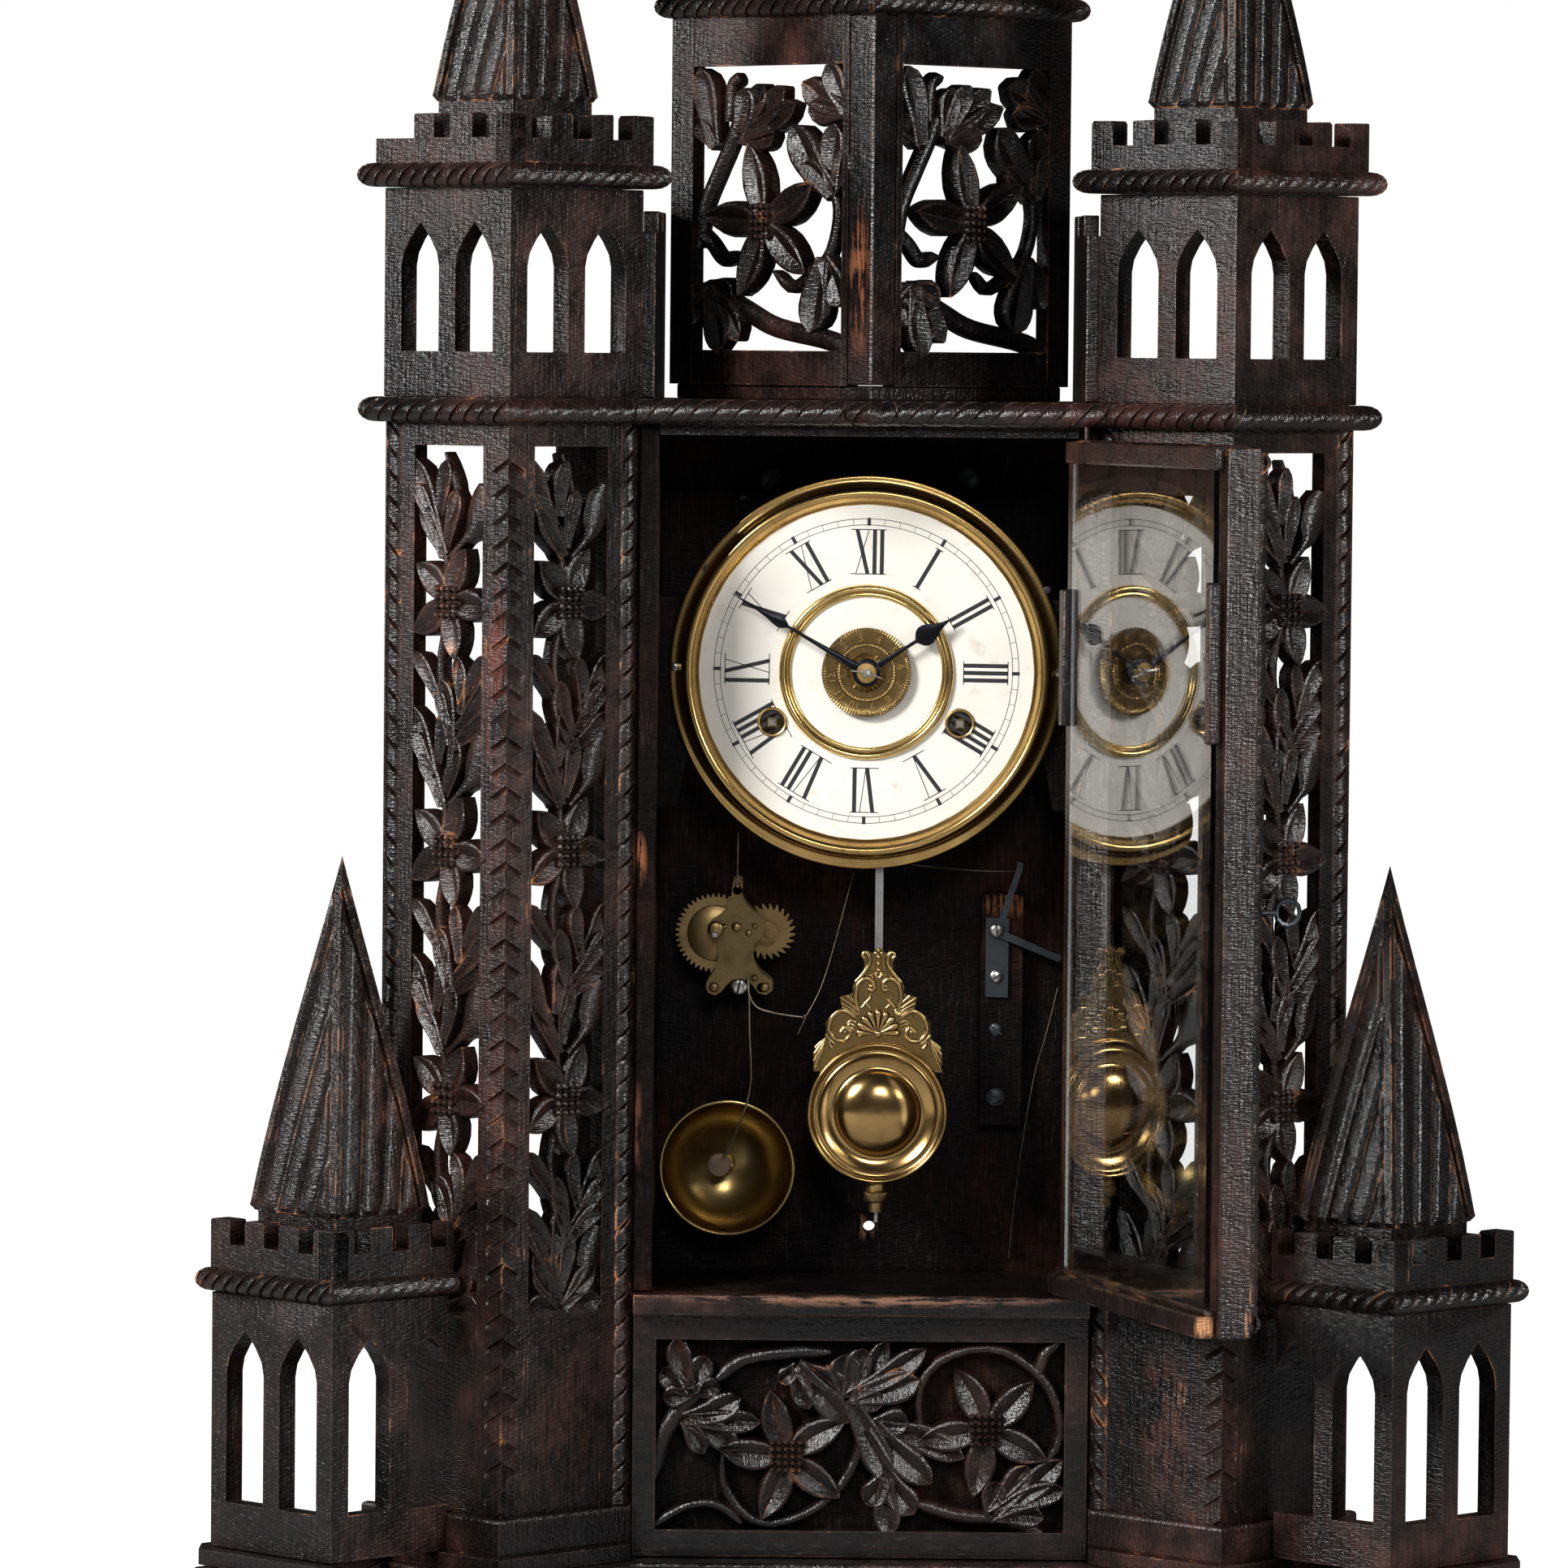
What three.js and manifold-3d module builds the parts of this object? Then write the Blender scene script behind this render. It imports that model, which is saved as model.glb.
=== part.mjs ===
// Steeple clock: a castle-shaped, chip-carved wooden case round an eight-day striking movement
// with an alarm. Millimetres, +Z up, the front faces -Y. The origin is on the underside of the
// base board, on the plane of symmetry.
import * as THREE from 'three';
import { mergeVertices } from 'three/addons/utils/BufferGeometryUtils.js';
import Module from 'manifold-3d';

const wasm = await Module();
wasm.setup();

// Fits and cuts
const gap = 0.3; // left between pieces that touch
const overrun = 2; // how far a cut or a joined form runs past the face that it meets
const running = 0.4; // radial clearance of a pivot in its hole

// Boards of the case
const baseThick = 25;
const ledgeThick = 6.5;
const plinthHigh = 16;
const plinthProud = 5;
const fretThick = 7;
const wallThick = 9;
const sideThick = 8;
const backThick = 12;
const frontThick = 9;
const floorThick = 8.4;
const deckThick = 10.6;
const nose = 3; // rounding of the moulded edges

// Clock box
const openingHalf = 88;
const boxFront = -9; // front edges of the box sides
const boxBack = 91; // front face of the back board
const backHalf = 134;
const sillLevel = 137; // top of the sill
const sillFront = -20.5;
const lowerFront = -9; // front face of the carved lower board
const deckLevel = 501.4; // underside of the main deck

// Towers, side turrets, deck turrets and lantern: each stands cornerwise, given by the place of
// its centre line, its front arris and its half diagonal
const tower = { x: 149.5, front: -60, half: 53 };
const turret = { x: 149.5, front: -60, half: 54, high: 87.3, corniceHalf: 66, crownHalf: 58 };
const sideTurret = { x: 218, front: -90, half: 53, high: 106.7, corniceHalf: 60.5, crownHalf: 53.7 };
const lantern = { x: 0, front: -22, half: 85, high: 161, corniceHalf: 93, crownHalf: 86 };
const towerSill = 131; // lower edge of the pierced panels
const towerHead = 492; // upper edge of the pierced panels
const cornerArm = 12.5; // width of a corner post on each face
const stileWide = 7; // flat border beside a rope-carved post
const ropeWide = 11;
const ropeProud = 2.5; // of the tower face

// Crowns
const corniceThick = 10;
const merlonCount = 4;
const merlonWide = 12;
const merlonHigh = 10.5;
const parapetHigh = 21;

// Spires
const smallSpire = { half: 34.6, high: 136, blockHalf: 32, blockHigh: 27.7 };
const sideSpire = { half: 37.5, high: 147, blockHalf: 34, blockHigh: 25.5 };
const greatSpire = { half: 54, high: 188, blockHalf: 49, blockHigh: 30 };
const spireEdgeWide = 4; // plain band along each arris
const reedCount = 5;
const grooveDeep = 1.1;

// Windows
const windowWide = 23;
const windowSill = 19; // above the foot of the wall
const windowHead = 15; // solid wall above the arches
const windowPier = 10;

// Curtain walls beside the lantern
const curtain = { front: 1.5, back: 66, x: 93.5, lean: 3.2, thick: 6.5, high: 79, merlon: 11 };

// Door
const door = {
  wide: 184, bottom: 139.5, top: 496, thick: 14, stile: 20, pinX: 90.5, pinY: -16.7, pinInset: 3,
  pinRadius: 1.1, openDeg: 108.5, ledgeProud: 8, ledgeHigh: 9, ropeProud: 5, ropeWide: 8,
  ropeInset: 10, glassThick: 2.2, freeInset: 3.5, hingeInset: 6.5, blockHigh: 57, blockWide: 6,
  blockProud: 6,
};

// Dial and hands
const dial = {
  z: 396.7, face: 36, radius: 71.2, flange: 83.8, sheet: 0.9, centreHole: 5.4, ringInner: 32.5,
  ringOuter: 37.1, rollProud: 4.6, rimDrop: 3.2, lip: 5,
};
const winding = { x: 39.8, drop: 21.4, hole: 5.2, square: 3.7, front: 33 };
const hands = { minute: 66, hour: 42.3, sheet: 0.8, hourDeg: 57, minuteDeg: 300 };
const alarmDial = { radius: 19, sheet: 1.2 };

// Movement
const plate = { half: 52, low: 338, high: 452, thick: 2, front: 46, pillar: 3, inset: 6 };
const mainWheel = { radius: 27, thick: 2, teeth: 30, y: 79, barrel: 24, barrelLong: 18 };

// Pendulum
const pendulum = {
  x: 6.5, pivotZ: 381, y: 43.6, wide: 3.4, sheet: 1, bobZ: 209, bobRadius: 30, bobDeep: 9,
  rodEnd: 162, rodRadius: 1.1, nutRadius: 5.5, nutHigh: 8, nutNeck: 4, crestHigh: 43, crestHalf: 27.5,
};

// Bell and alarm train
const bell = { x: -57.4, z: 182.7, radius: 29, rim: 62, deep: 22, wall: 1.4, boss: 5 };
const alarm = {
  front: 66, sheet: 1.5, back: 86, pillar: 2,
  mainX: -63.4, mainZ: 283, mainRadius: 17, mainTeeth: 40, mainY: 70,
  escapeAcross: 22.4, escapeUp: 0.5, escapeRadius: 12, escapeTeeth: 24, escapeY: 75,
  topFoot: { across: 9.4, up: 18.7 }, lowFoot: { across: -0.3, up: -23.1 },
  rightFoot: { across: 20, up: -23 },
  hammerAcross: 14.4, hammerDown: 18, wire: 0.7, headX: -60.7, headZ: 183.6, headRadius: 5, headY: 69,
};

// Strike release on the right
const strip = { left: 51, right: 69, low: 200, high: 300, thick: 8 };
const leverPlate = { left: 52.7, right: 62.8, low: 255.6, high: 290, thick: 1.6 };
const lever = { x: 57.5, z: 284.5, thick: 1.5, wide: 4, pivot: 2 };

// Places worked out from the sizes above
alarm.escapeX = alarm.mainX + alarm.escapeAcross;
alarm.escapeZ = alarm.mainZ + alarm.escapeUp;
alarm.hammerX = alarm.mainX + alarm.hammerAcross;
alarm.hammerZ = alarm.mainZ - alarm.hammerDown;
alarm.feet = [alarm.topFoot, alarm.lowFoot, alarm.rightFoot]
  .map((foot) => [alarm.mainX + foot.across, alarm.mainZ + foot.up]);
const ledgeTop = baseThick + ledgeThick;
const plinthTop = ledgeTop + plinthHigh;
const deckTop = deckLevel + deckThick;
const floorUnder = sillLevel - floorThick;
const caseBack = boxBack + backThick;
const boxOuter = openingHalf + sideThick;
const root2 = Math.SQRT2;

// Finishes
const finish = (color, roughness, metalness = 0) =>
  new THREE.MeshStandardMaterial({ color, roughness, metalness });
const ebonised = finish(0x1d1714, 0.45);
const boxWood = finish(0x241812, 0.6);
const brass = finish(0xb08a45, 0.3, 1);
const steel = finish(0x77797c, 0.35, 1);
const blued = finish(0x15161a, 0.4, 1);
const paper = finish(0xf0ebdd, 0.7);
const clearGlass = new THREE.MeshStandardMaterial({
  color: 0xdfe6e4, roughness: 0.05, transparent: true, opacity: 0.3,
});

// Geometry helpers

const point = (x, y) => new THREE.Vector2(x, y);

function signedVolume(geometry) {
  const flat = geometry.index ? geometry.toNonIndexed() : geometry;
  const place = flat.attributes.position;
  const [a, b, c] = [new THREE.Vector3(), new THREE.Vector3(), new THREE.Vector3()];
  let volume = 0;
  for (let i = 0; i < place.count; i += 3) {
    a.fromBufferAttribute(place, i);
    b.fromBufferAttribute(place, i + 1);
    c.fromBufferAttribute(place, i + 2);
    volume += a.dot(b.cross(c));
  }
  return volume;
}

// Turns every triangle round where a mirror or a profile has put the faces inside out
function outward(geometry) {
  const flat = geometry.index ? geometry.toNonIndexed() : geometry.clone();
  if (signedVolume(flat) > 0) {
    return flat;
  }
  const place = flat.attributes.position.array;
  for (let i = 0; i < place.length; i += 9) {
    for (let k = 3; k < 6; k += 1) {
      [place[i + k], place[i + k + 3]] = [place[i + k + 3], place[i + k]];
    }
  }
  return flat;
}

function toSolid(geometry) {
  const plain = outward(geometry);
  plain.deleteAttribute('normal');
  plain.deleteAttribute('uv');
  const merged = mergeVertices(plain, 1e-4);
  return new wasm.Manifold(new wasm.Mesh({
    numProp: 3,
    vertProperties: new Float32Array(merged.attributes.position.array),
    triVerts: new Uint32Array(merged.index.array),
  }));
}

function toGeometry(solid) {
  const mesh = solid.getMesh();
  const geometry = new THREE.BufferGeometry();
  geometry.setAttribute('position', new THREE.BufferAttribute(new Float32Array(mesh.vertProperties), 3));
  geometry.setIndex(new THREE.BufferAttribute(new Uint32Array(mesh.triVerts), 1));
  return geometry;
}

const joined = (...pieces) => toGeometry(pieces.flat().map(toSolid).reduce((a, b) => a.add(b)));
const cut = (body, ...tools) =>
  toGeometry(tools.flat().map(toSolid).reduce((a, b) => a.subtract(b), toSolid(body)));
const kept = (body, tool) => toGeometry(toSolid(body).intersect(toSolid(tool)));

// A plan outline raised from one level to another, with the seam gap left at its top
function slab(outline, bottom, top, rounding = 0) {
  const depth = top - gap - bottom - 2 * rounding;
  const raised = new THREE.ExtrudeGeometry(new THREE.Shape(outline), {
    depth, bevelEnabled: rounding > 0, bevelThickness: rounding, bevelSize: rounding,
    bevelOffset: -rounding, bevelSegments: 2, steps: 1,
  });
  return raised.translate(0, 0, bottom + rounding);
}

// An outline drawn on a face (across, up) and given its thickness backwards, along +Y
function board(outline, thick, holes = []) {
  const shape = new THREE.Shape(outline);
  holes.forEach((hole) => shape.holes.push(new THREE.Path(hole)));
  const flat = new THREE.ExtrudeGeometry(shape, { depth: thick, bevelEnabled: false, steps: 1 });
  return flat.rotateX(Math.PI / 2).translate(0, thick, 0);
}

const rectangle = (x0, x1, y0, y1) => [point(x0, y0), point(x1, y0), point(x1, y1), point(x0, y1)];

function circle(x, y, radius, sides) {
  return Array.from({ length: sides }, (_, i) => {
    const turn = (2 * Math.PI * i) / sides;
    return point(x + radius * Math.cos(turn), y + radius * Math.sin(turn));
  });
}

// A turned form about an axis along Y, from a closed profile of (radius, y)
function turned(profile, x, z, sides = 32) {
  const points = profile.map(([radius, y]) => point(radius, y));
  const last = points[points.length - 1];
  const closes = points[0].x === 0 && last.x === 0;
  const loop = closes ? points : [...points, points[0].clone()];
  return outward(new THREE.LatheGeometry(loop, sides)).translate(x, 0, z);
}

const rodY = (x, z, radius, y0, y1, sides = 12) =>
  turned([[0, y0], [radius, y0], [radius, y1], [0, y1]], x, z, sides);
const tubeY = (x, z, inner, outer, y0, y1, sides = 20) =>
  turned([[inner, y0], [outer, y0], [outer, y1], [inner, y1]], x, z, sides);

// A wire of round section along hand-chosen points
function wire(points, radius, steps = 14) {
  const route = new THREE.CatmullRomCurve3(points.map((p) => new THREE.Vector3(...p)));
  const section = new THREE.Shape(circle(0, 0, radius, 5));
  return outward(new THREE.ExtrudeGeometry(section, { steps, extrudePath: route }));
}

function mirrored(geometry) {
  return outward(geometry.clone().scale(-1, 1, 1));
}

// The two outer faces of a form set cornerwise. Both read from left to right as seen from
// outside; each carries (across, inwards, up) into the case
function rightFace(form) {
  const frame = new THREE.Matrix4().makeBasis(
    new THREE.Vector3(1, 1, 0).normalize(),
    new THREE.Vector3(-1, 1, 0).normalize(),
    new THREE.Vector3(0, 0, 1),
  );
  return frame.setPosition(form.x, form.front, 0);
}

function leftFace(form) {
  const frame = new THREE.Matrix4().makeBasis(
    new THREE.Vector3(1, -1, 0).normalize(),
    new THREE.Vector3(1, 1, 0).normalize(),
    new THREE.Vector3(0, 0, 1),
  );
  return frame.setPosition(form.x - form.half, form.front + form.half, 0);
}

const faceLength = (form) => form.half * root2;

// Plan of two walls that meet at the front arris
function veePlan(form, thick, half = form.half) {
  const front = form.front + form.half - half;
  const step = thick / root2;
  return [
    point(form.x, front),
    point(form.x + half, front + half),
    point(form.x + half - step, front + half + step),
    point(form.x, front + thick * root2),
    point(form.x - half + step, front + half + step),
    point(form.x - half, front + half),
  ];
}

function squarePlan(form, half) {
  const centre = form.front + form.half;
  return [
    point(form.x, centre - half),
    point(form.x + half, centre),
    point(form.x, centre + half),
    point(form.x - half, centre),
  ];
}

// Carved forms, drawn as flat outlines

const widestShare = 0.45; // where a leaf or petal is widest, from its base
const rootShare = 0.15; // how far a leaf runs back into the stem that bears it

// A pointed leaf or petal from its base to its tip, as it is sawn out before it is carved
function leafOutline(base, tip, wide) {
  const along = tip.clone().sub(base);
  const across = point(-along.y, along.x).normalize();
  const widest = base.clone().addScaledVector(along, widestShare);
  return [
    base.clone().addScaledVector(along, -rootShare),
    widest.clone().addScaledVector(across, -wide / 2),
    tip,
    widest.clone().addScaledVector(across, wide / 2),
  ];
}

// A stem of even width along a smooth line
function stemOutline(points, wide, steps = 5) {
  const line = new THREE.SplineCurve(points);
  const spots = Array.from({ length: steps + 1 }, (_, i) => i / steps);
  const side = (sign) => spots.map((t) => {
    const tangent = line.getTangent(t);
    return line.getPoint(t).addScaledVector(point(-tangent.y, tangent.x), (sign * wide) / 2);
  });
  return [...side(-1), ...side(1).reverse()];
}

// Five pointed petals in one outline
function flowerOutline(centre, petal, wide, turnDeg) {
  const petals = 5;
  const notchShare = 0.3;
  const widest = Math.atan2(wide / 2, petal * widestShare * root2);
  const spoke = (turn, reach) =>
    point(centre.x + reach * Math.cos(turn), centre.y + reach * Math.sin(turn));
  return Array.from({ length: petals }, (_, i) => {
    const turn = THREE.MathUtils.degToRad(turnDeg) + (2 * Math.PI * i) / petals;
    const reach = Math.hypot(wide / 2, petal * widestShare * root2);
    return [
      spoke(turn - Math.PI / petals, petal * notchShare), spoke(turn - widest, reach),
      spoke(turn, petal), spoke(turn + widest, reach),
    ];
  }).flat();
}

// Pierced tower panels: a climbing stem with a five-petalled flower, two leaf sprays and a bud
// in each repeat. Places are shares of half the opening's width and of the repeat
const vine = { top: 427, repeat: 103.5, petal: 24.5, petalWide: 13, leafWide: 10.5, stemWide: 4.4 };
const vineTurnDeg = 66;
const vineStemShares = [[0, 0], [-0.13, 0.22], [0.12, 0.43], [-0.3, 0.72], [0, 1]];
const vineLeafShares = [
  [-0.13, 0.18, -0.86, 0.41], [-0.15, 0.27, -1.04, 0.57], [-0.24, 0.54, -1.04, 0.81],
  [0.15, 0.41, 0.25, 0.8], [0.15, 0.43, 1.05, 0.77], [0.13, 0.4, 1.05, 0.59],
];
const budShares = [[-0.12, 0.17], [0.6, 0.33], [1.02, 0.37], [0.98, 0.46], [0.6, 0.46]];

function vineRepeat(centreX, flowerZ, half, withFlower) {
  const place = ([x, z]) => point(centreX + x * half, flowerZ + z * vine.repeat);
  const outlines = vineLeafShares.map(([x0, z0, x1, z1]) =>
    leafOutline(place([x0, z0]), place([x1, z1]), vine.leafWide));
  outlines.push(budShares.map(place));
  outlines.push(stemOutline(vineStemShares.map(place), vine.stemWide));
  if (withFlower) {
    const centre = place([0, 0]);
    outlines.push(flowerOutline(centre, vine.petal, vine.petalWide, vineTurnDeg));
  }
  return outlines;
}

// A tower panel drawn from its inner border to its outer edge; the rope-carved edge post is the
// last part of its width, on the right or on the left
function towerPanel(ropeOnRight) {
  const length = faceLength(tower) - cornerArm - gap;
  const toward = (across) => (ropeOnRight ? across : length - across);
  const opening = [stileWide / 3, length - ropeWide - stileWide].map(toward).sort((a, b) => a - b);
  const half = (opening[1] - opening[0]) / 2;
  const middle = opening[0] + half;
  const hole = rectangle(opening[0], opening[1], towerSill, towerHead);
  const frame = board(rectangle(0, length, ledgeTop, deckLevel - gap), fretThick, [hole]);
  const rope = ropePost(toward(length - ropeWide / 2), plinthTop, deckLevel - gap);
  const repeats = Array.from({ length: 4 }, (_, i) => i);
  const carving = repeats.flatMap((i) =>
    vineRepeat(middle, vine.top - i * vine.repeat, half, i < repeats.length - 1));
  const field = board(rectangle(opening[0] - gap, opening[1] + gap,
    towerSill - gap, towerHead + gap), fretThick);
  const pierced = kept(joined(carving.map((outline) => board(outline, fretThick))), field);
  return joined(frame, rope, pierced);
}

// Half-round post that stands proud of a panel's edge
function ropePost(centre, bottom, top) {
  const radius = ropeWide / 2 - gap;
  const round = new THREE.CylinderGeometry(radius, radius, top - bottom, 10);
  return round.rotateX(Math.PI / 2).translate(centre, radius - ropeProud, (top + bottom) / 2);
}

// Case boards

// Front line of the base, following the towers and side turrets at a distance
function footprint(offset) {
  const out = offset * root2;
  const meet = (tower.x + sideTurret.x + tower.front - sideTurret.front) / 2;
  const meetY = tower.front + meet - tower.x - out;
  const wing = sideTurret.x + sideTurret.half + offset / 2;
  const wingY = sideTurret.front + wing - sideTurret.x - out;
  const centreFront = sillFront - offset / 3;
  return {
    inner: point(tower.x - (centreFront - tower.front + out), centreFront),
    towerTip: point(tower.x, tower.front - out),
    meet: point(meet, meetY),
    turretTip: point(sideTurret.x, sideTurret.front - out),
    wing: point(wing, wingY),
  };
}

const reflect = (points) => points.map((p) => point(-p.x, p.y)).reverse();

function baseBoard() {
  const f = footprint(baseOverhang);
  const right = [f.inner, f.towerTip, f.meet, f.turretTip, f.wing,
    point(backHalf + overhang, caseBack)];
  return slab([...reflect(right), ...right], 0, baseThick, nose / 2);
}

const baseOverhang = 14;
const ledgeOverhang = 9;
const overhang = 8; // of the deck and base over the back board

// Ledge under one tower and side turret, with the tower's plinth standing on it
function towerPlinth() {
  const f = footprint(ledgeOverhang);
  const innerX = boxOuter + gap;
  const rearY = tower.front + tower.half + wallThick * root2;
  const ledge = slab([
    point(innerX, f.towerTip.y + tower.x - innerX), f.towerTip, f.meet, f.turretTip, f.wing,
    point(f.wing.x, f.wing.y + wallThick * 2),
    point(f.wing.x + f.wing.y + wallThick * 2 - rearY, rearY), point(innerX, rearY),
  ], baseThick, ledgeTop + gap);
  const proud = { ...tower, half: tower.half + plinthProud * root2 };
  proud.front = tower.front - plinthProud * root2;
  const band = cut(
    slab(veePlan(proud, plinthProud - gap), ledgeTop - gap, plinthTop, nose / 2),
    slab(rectangle(0, innerX, sillFront, caseBack), 0, plinthTop + overrun),
  );
  return joined(ledge, band);
}

// Towers' corner post: two arms that meet at the arris
function cornerPost(form, arm, thick, bottom, top) {
  const small = { x: form.x, front: form.front, half: arm / root2 };
  return slab(veePlan(small, thick), bottom, top);
}

function boxSide() {
  const edge = [
    point(frontThick + lowerFront + gap, baseThick + gap), point(boxBack - gap, baseThick + gap),
    point(boxBack - gap, deckLevel - gap), point(boxFront, deckLevel - gap),
    point(boxFront, sillLevel), point(frontThick + lowerFront + gap, sillLevel),
  ];
  const wall = new THREE.ExtrudeGeometry(new THREE.Shape(edge), { depth: sideThick, bevelEnabled: false });
  wall.applyMatrix4(new THREE.Matrix4().makeBasis(
    new THREE.Vector3(0, 1, 0), new THREE.Vector3(0, 0, 1), new THREE.Vector3(1, 0, 0)));
  wall.translate(openingHalf, 0, 0);
  return joined(wall, cheek());
}

// Wooden cheek glued to each box side, which carries the flange of the dial pan
const cheekShape = { reach: 16, low: 338, high: 428, front: 40.6, thick: 12 };

function cheek() {
  const shape = cheekShape;
  const outline = [
    point(openingHalf + overrun, shape.low), point(openingHalf + overrun, shape.high),
    point(openingHalf - shape.reach, shape.high), point(openingHalf - shape.reach, dial.z - shape.reach),
    point(openingHalf - shape.reach / 2, shape.low),
  ];
  return board(outline, shape.thick).translate(0, shape.front, 0);
}

function boxFloor() {
  const inside = openingHalf - gap;
  const outside = boxOuter - gap;
  const floor = slab([
    point(-outside, sillFront), point(outside, sillFront), point(outside, boxFront - gap),
    point(inside, boxFront - gap), point(inside, boxBack - gap), point(-inside, boxBack - gap),
    point(-inside, boxFront - gap), point(-outside, boxFront - gap),
  ], floorUnder, sillLevel);
  return cut(floor, pinHole());
}

const pinHole = () => {
  const radius = door.pinRadius + running;
  const drill = new THREE.CylinderGeometry(radius, radius, deckTop * 2, 12);
  return drill.rotateX(Math.PI / 2).translate(door.pinX, door.pinY, 0);
};

function backBoard() {
  const back = board(rectangle(-backHalf, backHalf, baseThick + gap, deckLevel - gap), backThick, [
    circle(backScrew.x, backScrew.z, backScrew.radius, 12),
  ]);
  return back.translate(0, boxBack, 0);
}

const backScrew = { x: 4, z: 155, radius: 2.6 };

function mainDeck() {
  const front = sillFront;
  const half = tower.half + deckOverhang;
  const towerTip = point(tower.x, tower.front - deckOverhang);
  const inner = point(tower.x - (front - towerTip.y), front);
  const wing = point(tower.x + half, towerTip.y + half);
  const right = [
    point(deckTip.half, front), inner, towerTip, wing,
    point(backHalf + overhang, wing.y + wing.x - backHalf - overhang),
    point(backHalf + overhang, caseBack),
  ];
  const tip = point(0, front - deckTip.proud);
  const deck = slab([...reflect(right), tip, ...right], deckLevel, deckTop, nose);
  const rail = slab(rectangle(-openingHalf + gap, openingHalf - gap, boxFront, boxFront + sideThick),
    deckLevel - topRail, deckLevel + overrun);
  return cut(joined(deck, rail), pinHole());
}

const deckOverhang = 12;
const deckTip = { half: 11, proud: 8.5 }; // the small point in the middle of the front edge
const topRail = 4.4;

// Turrets, lantern crown and spires

function archOutline(left, bottom, top) {
  const half = windowWide / 2;
  const spring = top - windowWide * 0.78;
  const middle = left + half;
  const steps = [0, 0.3, 0.62, 0.85];
  const side = steps.map((t) => [half * Math.cos(t * Math.PI / 2), (top - spring) * t]);
  return [
    point(left, bottom), point(left + windowWide, bottom),
    ...side.map(([x, z]) => point(middle + x, spring + z)),
    point(middle, top),
    ...side.reverse().map(([x, z]) => point(middle - x, spring + z)),
  ];
}

// Two pointed windows in each face of a turret
function turretWalls(form, foot) {
  const walls = slab(veePlan(form, wallThick), foot, foot + form.high);
  const length = faceLength(form);
  const first = (length - 2 * windowWide - windowPier) / 2;
  const windows = [leftFace(form), rightFace(form)].flatMap((face) =>
    [first, first + windowWide + windowPier].map((left) => {
      const arch = archOutline(left, foot + windowSill, foot + form.high - windowHead);
      const tool = board(arch, wallThick + 2 * overrun).translate(0, -overrun, 0);
      return tool.applyMatrix4(face);
    }));
  return cut(walls, windows);
}

// Rope-edged cornice board with the battlement standing on it. The missing list names merlons,
// counted from the left end of the left face, that have broken away
function crown(form, foot, missing = [], clip = null) {
  const top = foot + corniceThick;
  const cornice = slab(squarePlan(form, form.corniceHalf), foot, top, nose);
  const ring = { ...form, half: form.crownHalf, front: form.front + form.half - form.crownHalf };
  const wall = slab(veePlan(ring, wallThick), top - 2 * gap, top + parapetHigh);
  const length = faceLength(ring);
  const space = (length - merlonCount * merlonWide) / (merlonCount - 1);
  const notches = [leftFace(ring), rightFace(ring)].flatMap((face, side) =>
    Array.from({ length: merlonCount - 1 }, (_, i) => {
      const left = merlonWide + i * (merlonWide + space);
      const broken = side === 0 && missing.includes(i);
      const start = broken ? left - merlonWide - overrun : left;
      const outline = rectangle(start, left + space,
        top + parapetHigh - merlonHigh, top + parapetHigh + overrun);
      const tool = board(outline, wallThick + 2 * overrun).translate(0, -overrun, 0);
      return tool.applyMatrix4(face);
    }));
  const whole = cut(joined(cornice, wall), notches);
  return clip ? kept(whole, clip) : whole;
}

// A square pyramid with plain bands at its arrises and reeds that run parallel to the left
// arris of each face
function spire(form, size, foot) {
  const centre = form.front + form.half;
  const block = slab(squarePlan(form, size.blockHalf), foot, foot + size.blockHigh + 2 * gap);
  const base = foot + size.blockHigh;
  const cone = new THREE.ConeGeometry(size.half, size.high, 4);
  cone.rotateX(Math.PI / 2).translate(0, 0, base + size.high / 2);
  const grooves = Array.from({ length: 4 }, (_, face) => faceGrooves(size, base, face)).flat();
  const reeded = cut(cone, grooves).translate(form.x, centre, 0);
  return joined(block, reeded);
}

function faceGrooves(size, base, face) {
  const turn = (face * Math.PI) / 2;
  const corner = (angle) => new THREE.Vector3(
    size.half * Math.sin(angle), -size.half * Math.cos(angle), base);
  const left = corner(turn);
  const right = corner(turn + Math.PI / 2);
  const apex = new THREE.Vector3(0, 0, base + size.high);
  const across = right.clone().sub(left);
  const rise = apex.clone().sub(left);
  const normal = across.clone().cross(rise).normalize();
  const bandShare = spireEdgeWide / across.length();
  const pitchShare = (1 - 2 * bandShare) / reedCount;
  return Array.from({ length: reedCount }, (_, i) => {
    const share = bandShare + i * pitchShare;
    const start = left.clone().addScaledVector(across, share).addScaledVector(rise, -bandShare);
    const end = left.clone().addScaledVector(across, share)
      .addScaledVector(rise, 1 - share - bandShare);
    return groove(start, end, normal);
  });
}

// A V-shaped cut along a line in a face
function groove(start, end, normal) {
  const along = end.clone().sub(start);
  const length = along.length();
  const bar = new THREE.CylinderGeometry(grooveDeep, grooveDeep, length, 4);
  const axis = along.normalize();
  bar.applyMatrix4(new THREE.Matrix4().makeBasis(
    axis.clone().cross(normal), axis, normal.clone()));
  return outward(bar.translate(...start.clone().add(end).multiplyScalar(1 / 2).toArray()));
}

// Keeps a side turret's crown clear of the tower beside it
function sideClip(foot) {
  const far = sideTurret.x + sideTurret.corniceHalf;
  const face = tower.x - tower.front + (ropeProud + gap) * root2;
  const low = sideTurret.front - sideTurret.half;
  return slab([
    point(face + low, low), point(far * 2, low), point(far * 2, far), point(face + far, far),
  ], foot - overrun, foot + corniceThick + parapetHigh + overrun);
}

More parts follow.
